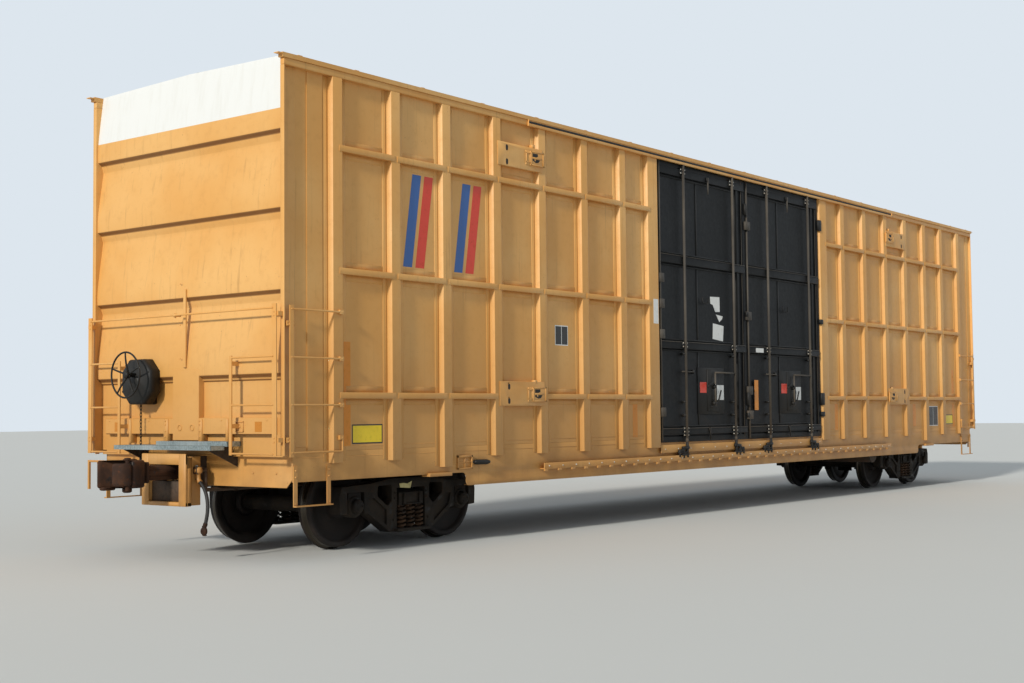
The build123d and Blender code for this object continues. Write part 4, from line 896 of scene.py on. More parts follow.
# Doors: keepers with their bolts, hinge blocks, edge tubes, seams, cranks and the operating gear
doorShape = {
    "doors": (  # left edge, heights of the hinge blocks, their left end, right end of the lock blocks
        (-2.482, (3.35, 2.99, 2.565, 1.48), 0.0, 2.476), (0.006, (4.31, 2.93, 1.794, 1.426), -0.04, 2.551),
    ),
    "rods": ((0.645, -1), (2.045, 1)),  # place on the door, and the way the crank points
    "rod": (((0, -1.6, 0.985), (0, -1.6, 4.999)), 0.019, 18),
    "collar": ((0.019, 1.06), (0.0215, 1.066), (0.0215, 1.1), (0.019, 1.106)),  # radius, height
    "keepers": (4.905, 2.43, 1.225, 1.178),
    "keeper": (-0.068, 0.068, -1.592, -1.563, -0.045, 0.045, 0.006),
    "keeperBolts": ((-0.052, 0.052), (-1.5915,), (-0.026, 0.026), 0.01, 0.009),
    "strap": (0.024, -1.594, 0.0155, 0.0055),  # half width, depth of its feet, how far it bows out, radius
    "strapTurn": (math.radians(-10), math.radians(190)),
    "guides": (2.3, 1.43, 1.62),
    "guide": (-0.03, 0.03, -1.6, -1.535, -0.016, 0.016, 0.004),
    "arm": (
        ((0.225, -1.597, 0.925), (0.15, -1.597, 0.94), (0.05, -1.597, 0.975), (-0.03, -1.597, 1.0)),
        (0.014, 0.02, 0.021, 0.016), 10,
    ),
    "pins": ((0.0, 0.021, 0.84, 1.06), (0.21, 0.02, 0.85, 0.95), (0.1, 0.018, 0.83, 0.98)),  # along, radius, low, high
    "pinEdge": 0.005,
    "cams": (
        (-0.035, 0.16, -1.616, -1.58, 0.865, 0.895, 0.008), (0.02, 0.245, -1.612, -1.58, 0.9, 0.925, 0.008),
        (-0.045, 0.13, -1.619, -1.58, 0.955, 0.995, 0.008),
    ),
    "hinge": (0.11, -1.598, -1.562, 0.064, 0.004),  # right end, front, back, half height, bevel
    "lockBlock": (2.446, -1.603, -1.56, 0.006),  # left end, front, back, bevel
    "lockEdge": ((4.56, 0.09), (2.95, 0.04), (1.67, 0.1), (1.42, 0.04)),  # height, half height
    "seam": (1.062, 1.098, -1.543, -1.534, 0.002),  # left, right, front, back, bevel
    "frame": (0.09, 2.2, 0.022, -1.549, -1.534, 0.003),  # left post, right post, width, front, back, bevel
    "panels": ((1.27, 2.36), (2.49, 3.56), (3.71, 4.81)),
    "lip": (0.04, 2.426, -1.585, -1.57, 0.008, 0.002),  # left, right, front, back, height, bevel
    "lips": ((2.373, 3.577, 1.164), (2.465, 3.687, 1.244)),  # along the beams: below, above
    "gearBlocks": (
        (0.85, 0.88, -1.6, -1.54, 2.02, 2.08, 0.005), (1.05, 1.8, -1.548, -1.534, 1.44, 2.12, 0.004),
        (1.305, 1.605, -1.562, -1.54, 1.48, 2.1, 0.006), (1.31, 1.38, -1.6, -1.577, 4.84, 4.905, 0.006),
        (1.29, 1.34, -1.594, -1.57, 1.2, 1.245, 0.005),
    ),
    "gearTubes": (  # upright, lever, link, catch and hook
        (((1.315, -1.59, 1.08), (1.315, -1.59, 1.26)), 0.01, 10),
        (
            ((1.255, -1.59, 1.835), (1.305, -1.598, 1.88), (1.395, -1.6, 1.9), (1.455, -1.602, 1.86)),
            (0.012, 0.011, 0.011, 0.013), 10,
        ),
        (((1.455, -1.6, 1.6), (1.555, -1.6, 1.66), (1.625, -1.597, 1.79)), 0.011, 10),
        (((1.355, -1.59, 1.55), (1.415, -1.598, 1.56), (1.485, -1.6, 1.6)), (0.008, 0.011, 0.011), 10),
        (((1.17, -1.575, 3.14), (1.17, -1.575, 3.06), (1.32, -1.575, 3.05), (1.33, -1.575, 3.13)), 0.009, 8),
    ),
    "gearDiscs": ((1.455, 1.84, 0.03), (1.455, 1.6, 0.034)),  # along, height, radius
    "disc": ((0.0, 1.615), (0.5, 1.615), (0.6, 1.606), (1.0, 1.604), (1.0, 1.56), (0.0, 1.56)),  # share of radius, out
    "rodBlock": (2.362, 2.374, -1.567, -1.56, 1.09, 4.97, 0.002),
    "rodTubes": (
        (((0.035, -1.572, 1.075), (0.035, -1.572, 4.99)), 0.013, 10),
        (((1.345, -1.594, 4.66), (1.345, -1.594, 4.74), (1.345, -1.594, 4.9)), (0.008, 0.012, 0.012), 10),
        (((1.455, -1.601, 1.56), (1.455, -1.601, 2.04)), 0.013, 12),
        (((1.455, -1.601, 2.05), (2.045, -1.601, 2.05)), 0.0125, 12),
        (((0.545, -1.594, 2.05), (0.86, -1.594, 2.05)), 0.01, 10),
    ),
}


def makeLockRod(d):
    # a rod with its keepers, bolts, guides and crank, standing at x = 0 with the crank towards +X
    half, feet, bow, thick = d["strap"]
    c, s = circle(9, *d["strapTurn"])
    parts = [*tubes([d["arm"]]), *blocks(d["cams"])]
    for z in d["keepers"]:
        parts += blocks([d["keeper"]], z=z)
        parts.append(tube(np.column_stack([half * c, feet - bow * s, np.full(9, z)]), thick, 6))
    for z in d["guides"]:
        parts += blocks([d["guide"]], z=z)
    for along, radius, low, high in d["pins"]:
        cut = d["pinEdge"]
        edge = ((0.0, high), (radius - cut, high), (radius, high - cut), (radius, low + cut), (radius - cut, low))
        parts.append(turnProfile((*edge, (0.0, low)), (along, -1.6, 0), 20, "Z"))
    xs, ys, beside, *size = d["keeperBolts"]
    return joined(parts), joined(heads([(xs, ys, [z + at for z in d["keepers"] for at in beside], *size)]))


def makeDoorFittings(d):
    groups = [], [], []
    lockRod = makeLockRod(d)
    hingeEnd, front, back, tall, cut = d["hinge"]
    lockStart, lockFront, lockBack, lockCut = d["lockBlock"]
    post, farPost, wide, frameFront, frameBack, frameCut = d["frame"]
    seamStart, seamEnd, seamFront, seamBack, seamCut = d["seam"]
    lipStart, lipEnd, lipFront, lipBack, lipTall, lipCut = d["lip"]
    face = frameFront, frameBack
    for left, hinges, hingeStart, lockEnd in d["doors"]:
        parts = [*blocks(d["gearBlocks"]), *tubes(d["gearTubes"])]
        edge = [(lockStart, lockEnd, lockFront, lockBack, z - half, z + half, lockCut) for z, half in d["lockEdge"]]
        parts += blocks(edge)
        for low, high in d["panels"]:
            parts += blocks([(seamStart, seamEnd, seamFront, seamBack, low, high, seamCut)])
            parts += blocks([(x, x + wide, *face, low, high, frameCut) for x in (post, farPost)])
            parts += blocks([(post, farPost + 0.02, *face, z, z + wide, frameCut) for z in (low, high - wide)])
        for along, z, radius in d["gearDiscs"]:
            disc = [(radius * share, out) for share, out in d["disc"]]
            parts.append(mirrored(turnProfile(disc, (along, 0, z), 24), 1))
        rods = [*blocks([d["rodBlock"]]), *tubes(d["rodTubes"])]
        rods += blocks([(hingeStart, hingeEnd, front, back, z - tall, z + tall, cut) for z in hinges])
        for group, heights in zip((parts, rods), d["lips"]):
            group += blocks([(lipStart, lipEnd, lipFront, lipBack, z, z + lipTall, lipCut) for z in heights])
        bolts = []
        for x, way in d["rods"]:
            for group, part in zip((parts, bolts), lockRod):
                group.append(moved(part if way > 0 else mirrored(part, 0), x))
            rods += [turnProfile(d["collar"], (x, -1.6, 0), 16, "Z"), *tubes([d["rod"]], x)]
        for group, made in zip(groups, (parts, bolts, rods)):
            group += [moved(part, left) for part in made]
    return [doubled(joined(group)) for group in groups]


fittings, brightBolts, lockRods = makeDoorFittings(doorShape)
addPiece("doorFittings", fittings, gearPaint, stands=("door_locks_near", "door_locks_far"))
addPiece("doorBolts", brightBolts, brightZinc)
addPiece("lockRods", lockRods, rodPaint)
print("doors dressed")


# Tracks: clips under the lower rail that catch the light, and bolts along the threshold
trackShape = {
    "rail": (5.17, 0.283),  # half length, pitch
    "clip": (-0.035, 0.035, -1.616, -1.593, 0.772, 0.802, 0.005),
    "stud": (0.07, -1.605, 0.835, 0.011, 0.01),  # beside the clip, across, height, radius, how high
    "threshold": (2.38, 0.34, -1.576, 0.965, 0.01, 0.008),  # half length, pitch, across, height, radius, how high
}


def makeTrackClips(t):
    half, pitch = t["rail"]
    places = np.arange(-half, half + 0.01, pitch)
    beside, y, z, *size = t["stud"]
    studs = heads([(places + beside, (y,), (z,), *size)])
    half, pitch, y, z, *size = t["threshold"]
    studs += heads([(np.arange(-half, half + 0.02, pitch), (y,), (z,), *size)])
    return doubled(joined([part for x in places for part in blocks([t["clip"]], x)])), doubled(joined(studs))


clips, studs = makeTrackClips(trackShape)
addPiece("trackClips", clips, trimPaint, smooth=False)
addPiece("trackStuds", studs, brightZinc)


# Dark strips as painted shadow: along the web of the upper door rail, inside its channel, and in the open laps of the
# end bays
darkShape = (
    (-5.44, 5.44, -1.5998, -1.598, 5.03, 5.067, 0.0), (-9.0235, -9.0165, -1.5358, -1.534, 1.17, 5.01, 0.0),
    (9.0165, 9.0235, -1.5358, -1.534, 1.17, 5.01, 0.0),
)
addPiece("darkLines", doubled(joined(blocks(darkShape))), shadowFinish, smooth=False)


# Side sheets: the flanges of posts and ribs lie on them, with a weld bead along each, above two lap lines
sheetShape = {
    "face": 1.535,
    "proud": 0.004,
    "lapLines": (1.058, 1.162),
    "posts": (3.378, 4.263, 5.165, 6.055, 6.97, 7.816, 8.7),
    "foot": 0.0955,  # from a post's middle to the foot of its flank
    "flange": 0.066,
    "postBottoms": {6.97: 0.904},
    "postBottom": 1.006,
    "doorFoot": 2.785,
    "ribs": (1.688, 2.985, 4.271),
    "ribHalf": 0.033,
    "top": 5.01,
    "bead": 0.003,
    "beadAt": 0.024,  # from the foot of the flank
    "tuck": 0.004,  # how far a flange runs under the post
    "sunk": 0.002,  # and into the sheet
    "cut": 0.0015,
    "bays": (-9.25, 2.8),
    "bay": 6.45,
}


def makeSeams(s):
    face, out, wide, top = s["face"], s["face"] + s["proud"], s["flange"], s["top"]
    beads = [((x, -face, z), (x + s["bay"], -face, z)) for x in s["bays"] for z in s["lapLines"]]
    flat = []
    feet = [(side * s["doorFoot"], side, s["postBottom"]) for side in (-1, 1)]
    for place in s["posts"]:
        low = s["postBottoms"].get(place, s["postBottom"])
        feet += [(end * place + side * s["foot"], side, low) for end in (-1, 1) for side in (-1, 1)]
    for x, side, low in feet:
        flat.append((*sorted((x - side * s["tuck"], x + side * wide)), low, top))
        beads.append(((x + side * s["beadAt"], -out, low + s["tuck"]), (x + side * s["beadAt"], -out, top)))
    edges = [s["doorFoot"]] + [place + side * s["foot"] for place in s["posts"] for side in (-1, 1)]
    for start, stop in zip(edges[::2], edges[1::2]):
        for z in s["ribs"]:
            for low in (z + s["ribHalf"], z - s["ribHalf"] - wide):
                flat += [(*sorted((end * (start + wide), end * (stop - wide))), low, low + wide) for end in (-1, 1)]
    parts = tubes([(path, s["bead"], 6) for path in beads])
    back, cut = s["sunk"] - face, s["cut"]
    return joined(parts + blocks([(a, b, -out, back, low, high, cut) for a, b, low, high in flat]))


addPiece("sheetSeams", doubled(makeSeams(sheetShape)), enamelPaint)


# Catches on the door stops: a rimmed box with two openings shown as dark sheets of painted shade, and dark sheets of
# painted shade set in the slots of the plate
catchShape = {
    "heights": (4.608, 1.712),
    "slots": (-5.875, 0.021, 0.014, (4.507, 4.677, 1.632, 1.802)),  # along, radius, half the straight part, heights
    "rim": (  # left, right, low, high, all as proud
        (-5.425, -5.155, 0.074, 0.088), (-5.425, -5.155, -0.088, -0.074), (-5.425, -5.413, -0.088, 0.088),
        (-5.185, -5.155, -0.088, 0.088), (-5.395, -5.205, -0.002, 0.014),
    ),
    "plate": (
        (-5.51, -5.498, -0.07, 0.07), (-5.437, -5.425, -0.07, 0.07), (-5.51, -5.425, -0.062, -0.05),
        (-5.51, -5.425, 0.05, 0.062),
    ),
    "rest": ((-5.35, -5.33, -1.62, -1.615, -0.03, 0.0, 0.002), (-5.37, -5.32, -1.6, -1.545, 0.13, 0.175, 0.004)),
    "openings": (  # along and height of each corner
        ((-5.39, 0.062), (-5.285, 0.062), (-5.285, 0.03), (-5.325, 0.018), (-5.39, 0.018)),
        ((-5.39, -0.008), (-5.24, -0.008), (-5.275, -0.045), (-5.325, -0.052), (-5.39, -0.03)),
    ),
}


def makeCatches(c):
    rows = [(a, b, -1.6215, -1.615, low, high, 0.002) for a, b, low, high in c["rim"]]
    rows += [(a, b, -1.6145, -1.6, low, high, 0.002) for a, b, low, high in c["plate"]]
    parts = [part for z in c["heights"] for part in blocks([*rows, *c["rest"]], z=z)]
    dark = [slab(np.array(o) + (0, z), "Y", -1.6178, -1.616) for z in c["heights"] for o in c["openings"]]
    x, radius, straight, heights = c["slots"]
    a, b = circle(20)
    for z in heights:
        ring = np.column_stack([x + radius * a, z + radius * b + straight * np.sign(b)])
        dark.append(slab(ring, "Y", -1.5998, -1.57))
    return [doubled(joined([part, mirrored(part, 0)])) for part in (joined(parts), joined(dark))]


catches, slots = makeCatches(catchShape)
addPiece("stopCatches", catches, trimPaint)
addPiece("stopOpenings", slots, shadowFinish, smooth=False)


# Flat marks on the sides: amber strips, yellow placards with a black edge, labels, and a plain slanted-bar device
marks = {
    "sheet": 1.5351,
    "thick": 0.0008,
    "sunk": 0.0004,
    "edge": 0.014,  # black round a placard
    "frame": 0.012,  # white round a box
    "post": 0.006,  # half the white between its fields
    "amber": (  # left, right, low, high, depth of the face
        (-8.573, -8.471, 1.158, 2.252, 1.5351), (-3.123, -3.009, 1.148, 1.593, 1.5351),
        (3.058, 3.172, 1.146, 1.62, 1.5351), (6.385, 6.525, 1.168, 1.582, 1.5351),
        (8.36, 8.47, 1.13, 2.256, 1.5351), (0.218, 0.338, 1.497, 1.957, 1.5632),
    ),
    "placards": ((-8.452, -7.99, 1.18, 1.385), (7.98, 8.37, 1.185, 1.373)),
    "labels": (
        (0.262, 0.505, 2.381, 2.449, 1.5772), (-2.655, -2.533, 2.70, 3.038, 1.5912),
        (-0.916, -0.722, 1.651, 1.868, 1.5622), (1.596, 1.766, 1.653, 1.862, 1.5622),
    ),
    "papers": (  # torn sheets, outlines in x and z
        ((-1.032, 3.166), (-0.757, 3.173), (-0.753, 2.955), (-0.884, 2.948), (-0.955, 3.048), (-1.02, 3.063)),
        ((-0.866, 2.911), (-0.668, 2.892), (-0.69, 2.85), (-0.769, 2.804)),
        ((-0.956, 2.777), (-0.647, 2.749), (-0.673, 2.52), (-0.971, 2.547)),
    ),
    "red": ((-1.377, -1.195, 1.754, 1.908, 1.5484), (1.125, 1.313, 1.758, 1.91, 1.5484)),
    "bars": (3.11, 4.15, 0.145, 0.16),  # low, high, width, how far they lean along the car
    "blueBars": (-7.65, -6.79),
    "redBars": (-7.45, -6.59),
    "boxes": ((7.135, 7.6, 1.165, 1.54), (-4.862, -4.588, 2.332, 2.584)),  # white frames round two black fields
}


def overFlanges(rows, s):
    # a film on the sheet climbs on to the post flanges it crosses: the part over each flange lies that much higher
    feet = [(side * s["doorFoot"], side) for side in (-1, 1)]
    feet += [(end * place + side * s["foot"], side) for place in s["posts"] for end in (-1, 1) for side in (-1, 1)]
    over = []
    for x0, x1, z0, z1, depth in rows:
        for foot, side in feet:
            a, b = sorted((foot, foot + side * s["flange"]))
            if depth < s["face"] + 0.001 and min(x1, b) - max(x0, a) > 0.002:
                over.append((max(x0, a), min(x1, b), z0, z1, depth + s["proud"]))
    return [*rows, *over]


def makeMarks(m):
    thick, sheet, sunk, edge, frame, post = (m[key] for key in ("thick", "sheet", "sunk", "edge", "frame", "post"))
    low, high, wide, lean = m["bars"]
    black, white = [], list(m["labels"])
    for x0, x1, z0, z1 in m["boxes"]:
        middle = (x0 + x1) / 2
        white.append((x0, x1, z0, z1, sheet))
        for a, b in ((x0 + frame, middle - post), (middle + post, x1 - frame)):
            black.append((a, b, z0 + frame, z1 - frame, sheet + thick))
    yellow = [(a + edge, b - edge, c + edge, d - edge, sheet + thick) for a, b, c, d in m["placards"]]
    black += [(*row, sheet) for row in m["placards"]]
    amber = overFlanges(m["amber"], sheetShape)
    rows = {"amber": amber, "yellow": yellow, "black": black, "white": white, "red": m["red"], "blue": ()}
    made = {
        colour: blocks([(a, b, -out - thick, -out + sunk, c, d, 0.0) for a, b, c, d, out in films])
        for colour, films in rows.items()
    }
    made["white"] += [slab(outline, "Y", -1.5362, -1.534) for outline in m["papers"]]
    for colour, starts in (("blue", m["blueBars"]), ("red", m["redBars"])):
        for x in starts:
            outline = ((x, low), (x + wide, low), (x + wide + lean, high), (x + lean, high))
            made[colour].append(slab(outline, "Y", -1.536, -1.5348))
    return made


films = {
    "amber": reflectiveFilm, "yellow": placardFilm, "black": blackFilm,
    "white": whiteFilm, "red": redFilm, "blue": blueFilm,
}
for colour, parts in makeMarks(marks).items():
    addPiece(f"marks_{colour}", doubled(joined(parts)), films[colour], smooth=False)
print("sides marked")


# Card holder and rod handle on the side sill, and the bolts of pads, steps and ladders
sillTrim = {
    "card": (
        (-6.77, -6.505, -1.541, -1.533, 0.85, 1.012, 0.002), (-6.77, -6.505, -1.556, -1.535, 0.85, 0.87, 0.004),
        (-6.77, -6.505, -1.556, -1.535, 0.982, 1.012, 0.004), (-6.77, -6.75, -1.556, -1.535, 0.85, 1.012, 0.004),
        (-6.525, -6.505, -1.556, -1.535, 0.85, 1.012, 0.004), (-6.6455, -6.6295, -1.552, -1.535, 0.85, 0.982, 0.003),
        (-6.77, -6.505, -1.552, -1.535, 0.925, 0.938, 0.003),
    ),
    "handle": (
        (
            ((-6.49, -1.568, 0.927), (-6.47, -1.568, 0.927), (-6.27, -1.568, 0.923), (-6.22, -1.568, 0.923)),
            (0.018, 0.03, 0.03, 0.018), 14,
        ),
        (((-6.51, -1.555, 0.927), (-6.43, -1.568, 0.927)), 0.009, 8),
    ),
    "handleBlock": (-6.44, -6.4, -1.568, -1.534, 0.907, 0.947, 0.004),
    "bolts": (
        ((8.797, 9.259), (-1.547,), (0.93, 0.864), 0.013, 0.011), ((8.79, 9.266), (-1.548,), (0.6,), 0.009, 0.007),
        ((9.365,), (-1.612,), (1.113, 1.59, 2.067, 2.551), 0.01, 0.008),
        ((8.667,), (-1.616,), (1.254, 1.59, 2.067, 2.551), 0.008, 0.005),
        ((9.325, 9.405), (-1.6,), (1.225, 1.26, 2.39, 2.424), 0.009, 0.007),
    ),
}
bolts = joined(heads(sillTrim["bolts"]))
handles = joined([*tubes(sillTrim["handle"]), *blocks([sillTrim["handleBlock"]])])
addPiece("sillCards", doubled(joined(blocks(sillTrim["card"]))), trimPaint)
addPiece("sillHandles", doubled(handles), gearPaint)
addPiece("sideBolts", doubled(joined([bolts, mirrored(bolts, 0)])), trimPaint)


# Hand brake: a rolled rim on five bent spokes, a drawn case with rounded edges, and its chain
brakeShape = {
    "y": 0.65,
    "rim": (-9.69, 1.938, 0.245, 0.0105),  # x, height, radius, radius of its tube
    "spokes": 5,
    "spoke": (0.03, 0.034, 0.035, 0.009, 0.003),  # starts from, stops short, bows out, radius, thicker at the hub
    "firstSpoke": 0.3,
    "hub": (  # radius, x
        (0.0, -9.70), (0.03, -9.70), (0.038, -9.69), (0.038, -9.655), (0.024, -9.645), (0.024, -9.56), (0.0, -9.56),
    ),
    "caseAt": (-9.425, 0.65, 1.865),
    "corners": (
        (0.12, 0.245), (0.25, 0.115), (0.25, -0.115), (0.12, -0.245), (-0.12, -0.245), (-0.25, -0.115), (-0.25, 0.115),
        (-0.12, 0.245),
    ),
    "depths": (  # how deep, share of the outline
        (0.0, 1.0), (0.1, 1.0), (0.125, 0.965), (0.138, 0.88), (0.14, 0.3), (0.155, 0.26), (0.16, 0.2),
    ),
    "boltsAt": (0.9, 0.133),  # share of the outline, how deep
    "bolt": (0.01, 0.008),
    "blocks": ((-9.425, -9.35, 0.54, 0.76, 1.62, 1.83, 0.01), (-9.515, -9.29, 0.63, 0.67, 0.952, 1.008, 0.006)),
    "chain": (-9.485, 1.62, 15, 0.03744),  # x, top, links, pitch
    "link": (0.011, 0.026, 0.0042),  # half width, half length, radius
    "chainEnd": (-9.497, -9.473, 0.638, 0.662, 0.98, 1.06, 0.003),
}


def makeHandBrake(b):
    y, (x, z, radius, thick) = b["y"], b["rim"]
    c, s = circle(64)
    parts = [tube(np.column_stack([np.full(64, x), y + radius * c, z + radius * s]), thick, 10, closed=True)]
    share = np.linspace(0, 1, 9)
    start, short, bent, slim, more = b["spoke"]
    reach, bow = start + (radius - short) * share, x + bent * (1 - share) ** 2
    for angle in 2 * math.pi * np.arange(b["spokes"]) / b["spokes"] + b["firstSpoke"]:
        path = np.column_stack([bow, y + reach * math.cos(angle), z + reach * math.sin(angle)])
        parts.append(tube(path, slim + more * (1 - share), 8))
    parts += [turnProfile(b["hub"], (0, y, z), 24, "X"), *blocks(b["blocks"])]
    corners = np.insert(np.array(b["corners"]), 0, 0.0, axis=1)
    rings = [corners * scale + b["caseAt"] - (deep, 0, 0) for deep, scale in b["depths"]]
    count = len(rings)
    faces = gridFaces(count, 8, closedColumns=True).tolist()
    faces += [list(range(8))[::-1], list(range((count - 1) * 8, count * 8))]
    parts.append((np.concatenate(rings), faces))
    scale, deep = b["boltsAt"]
    parts += [dome(place, (-1, 0, 0), *b["bolt"]) for place in corners * scale + b["caseAt"] - (deep, 0, 0)]
    x, top, links, pitch = b["chain"]
    half, long, thick = b["link"]
    c, s = circle(14)
    chain = blocks([b["chainEnd"]])
    for k in range(links):
        across = (half * c, 0 * c) if k % 2 else (0 * c, half * c)
        path = np.column_stack([x + across[0], y + across[1], top - pitch * k + long * s])
        chain.append(tube(path, thick, 6, closed=True))
    return joined(parts), joined(chain)


wheelAndCase, brakeChain = makeHandBrake(brakeShape)
addPiece("handBrake", wheelAndCase, gearPaint, stands=["hand_brake"])
addPiece("brakeChain", brakeChain, castFinish)


# Platforms: a grating of upright bars on angle brackets
gratingShape = {
    "boards": (  # x from, x to, y from, y to, bottom, top, at the hand brake end
        (-9.71, -9.53, -0.786, 0.82, 1.138, 1.184),
        (-9.53, -9.352, 0.33, 0.82, 1.138, 1.184),
        (-9.53, -9.352, -0.83, 0.33, 1.174, 1.226),
    ),
    "bars": (0.03, 0.0022),  # pitch, half thickness
    "rods": (0.045, 0.004),
    "rim": 0.006,
    "slot": (-9.485, 0.65, 0.035),  # middle and half width of the opening for the brake chain
    "brackets": ((-0.712, 1.174), (0.688, 1.138)),  # y, top beside the wall
    "bracket": ((-9.53, 1.138), (-9.68, 1.138), (-9.29, 0.96), (-9.29, 1.068), (-9.352, 1.068)),  # x and z below it
}


def makeGrating(g):
    rows = []
    slotX, slotY, slotHalf = g["slot"]
    (pitch, thin), (spacing, half), rim = g["bars"], g["rods"], g["rim"]
    for x0, x1, y0, y1, low, top in g["boards"]:
        for y in np.arange(y0 + 0.02, y1 - 0.01, pitch):
            cut = abs(y - slotY) < slotHalf and x0 < slotX < x1
            spans = ((x0, slotX - slotHalf), (slotX + slotHalf, x1)) if cut else ((x0, x1),)
            rows += [(a, b, y - thin, y + thin, low + 0.008, top - 0.001, 0.0) for a, b in spans]
        for x in np.arange(x0 + 0.03, x1 - 0.01, spacing):
            if abs(x - slotX) > slotHalf:
                rows.append((x - half, x + half, y0, y1, top - 0.012, top - 0.004, 0.0))
        rows += [(x, x + rim, y0, y1, low, top, 0.001) for x in (x0, x1 - rim)]
        rows += [(x0, x1, y, y + rim, low, top, 0.001) for y in (y0, y1 - rim)]
    brackets = []
    for y, top in g["brackets"]:
        outline = ((-9.352, top), (-9.53, top), *g["bracket"])
        brackets.append(slab(outline, "Y", y, y + 0.012))
    return doubled(joined(blocks(rows))), doubled(joined(brackets))


bars, brackets = makeGrating(gratingShape)
addPiece("platformGratings", bars, deckFinish, smooth=False, stands=["platforms"])
addPiece("platformBrackets", brackets, underPaint, smooth=False)


# End walls: beam brackets, sight holes, ladder clip, amber reflectors, bolts and the levers of the angle cocks
endShape = {
    "brackets": (
        (9.35, 9.438, -0.93, -0.9, 1.2, 1.462, 0.006), (9.35, 9.438, -0.326, -0.253, 1.2, 1.462, 0.006),
        (9.35, 9.438, 0.252, 0.309, 1.2, 1.462, 0.006), (9.35, 9.438, 0.686, 0.723, 1.2, 1.462, 0.006),
        (9.42, 9.43, 0.834, 0.844, 1.32, 1.43, 0.002), (9.42, 9.43, 0.944, 0.954, 1.32, 1.43, 0.002),
        (9.42, 9.43, 0.834, 0.954, 1.32, 1.33, 0.002), (9.42, 9.43, 0.834, 0.954, 1.42, 1.43, 0.002),
        (9.445, 9.53, -0.05, -0.014, 2.545, 2.575, 0.004),
    ),
    "amber": ((9.42, 9.4215, -1.205, -1.106, 1.322, 1.426, 0.0), (9.42, 9.4215, 1.122, 1.225, 1.322, 1.426, 0.0)),
    "bolts": (
        ((9.438,), (-0.29, 0.28), (1.27, 1.33, 1.4, 1.44), 0.011, 0.009), ((9.421,), (0.894,), (1.375,), 0.012, 0.01),
        ((9.5265,), (-1.523, 1.523), (1.222, 1.262, 2.48, 2.52), 0.009, 0.008),
        ((9.5265,), (-1.503, 1.503), (1.103, 1.594, 2.078, 2.56), 0.011, 0.01),
        ((9.445,), (-0.032,), (2.9, 2.46, 2.1), 0.01, 0.008),
        ((9.2915,), (-1.3, -0.95, 0.95, 1.3), (0.9,), 0.012, 0.01),
        ((9.421,), (-1.3, -0.6, 0.6, 1.3), (1.44,), 0.009, 0.006),
    ),
    "holes": ((0, -0.06, 1.366), (0, 0.143, 1.366)),
    "ring": ((0.034, 9.427), (0.034, 9.434), (0.027, 9.434), (0.027, 9.425), (0.034, 9.427)),  # radius, x
    "disc": ((0.0265, 9.4285), (0.03, 9.4285), (0.03, 9.426), (0.0265, 9.426), (0.0265, 9.4285)),
    "clip": (9.5, -0.05, 2.56, 0.02, 0.024, 0.006),  # x, y, z, half width, half height, radius
    "lever": (
        ((9.5, 0.318, 0.965), (9.5, 0.3, 0.972), (9.5, 0.275, 0.93), (9.5, 0.25, 0.868)),
        (0.013, 0.013, 0.011, 0.009), 8,
    ),
}


def makeEndTrim(e):
    x, y, z, wide, high, thick = e["clip"]
    c, s = circle(16)
    parts = [*blocks(e["brackets"]), *(turnProfile(e["ring"], place, 24, "X") for place in e["holes"])]
    parts.append(tube(np.column_stack([np.full(16, x), y + wide * c, z + high * s]), thick, 8, closed=True))
    holes = [turnProfile(e["disc"], place, 24, "X") for place in e["holes"]]
    groups = parts, holes, blocks(e["amber"]), heads(e["bolts"], (1, 0, 0)), tubes([e["lever"]])
    return [doubled(joined(group)) for group in groups]


endParts, endHoles, endAmber, endBolts, cockLevers = makeEndTrim(endShape)
addPiece("endBrackets", endParts, trimPaint)
# the black rings inside the sight holes' rims are painted shade where the hole's edge turns in
addPiece("endSightHoles", endHoles, blackFilm)
addPiece("endReflectors", endAmber, orangeFilm, smooth=False)
addPiece("endBolts", endBolts, trimPaint)
addPiece("cockLevers", cockLevers, brightZinc)


# Angle cocks: an elbow with its body and swivel nut, where the hose starts
cockShape = {
    "elbow": (0.93, 0.832, 0.0262),  # top, where it bends, radius
    "body": (  # radius, height
        (0.0, 0.885), (0.03, 0.888), (0.044, 0.905), (0.046, 0.93), (0.04, 0.952), (0.022, 0.962), (0.0, 0.964),
    ),
    "nut": ((-0.9, 0.031), (-0.5, 0.031), (-0.45, 0.0265), (0.1, 0.0255)),  # along the last bend, radius
}


def makeCocks(h, k):
    x, y = h["elbow"][:2]
    start = hosePoints(h, 1)[0]
    top, corner, radius = k["elbow"]
    bend = cutCorners([(x, y, top), (x, y, corner), start], 3, closed=False)
    along, radii = zip(*k["nut"])
    nut = tube(bend[-1] + (start - bend[-3]) * np.array(along)[:, None], radii, 6)
    return joined([tube(bend, radius, 18), turnProfile(k["body"], (x, y, 0), 24, "Z"), nut])


addPiece("angleCocks", doubled(makeCocks(hose, cockShape)), trimPaint)
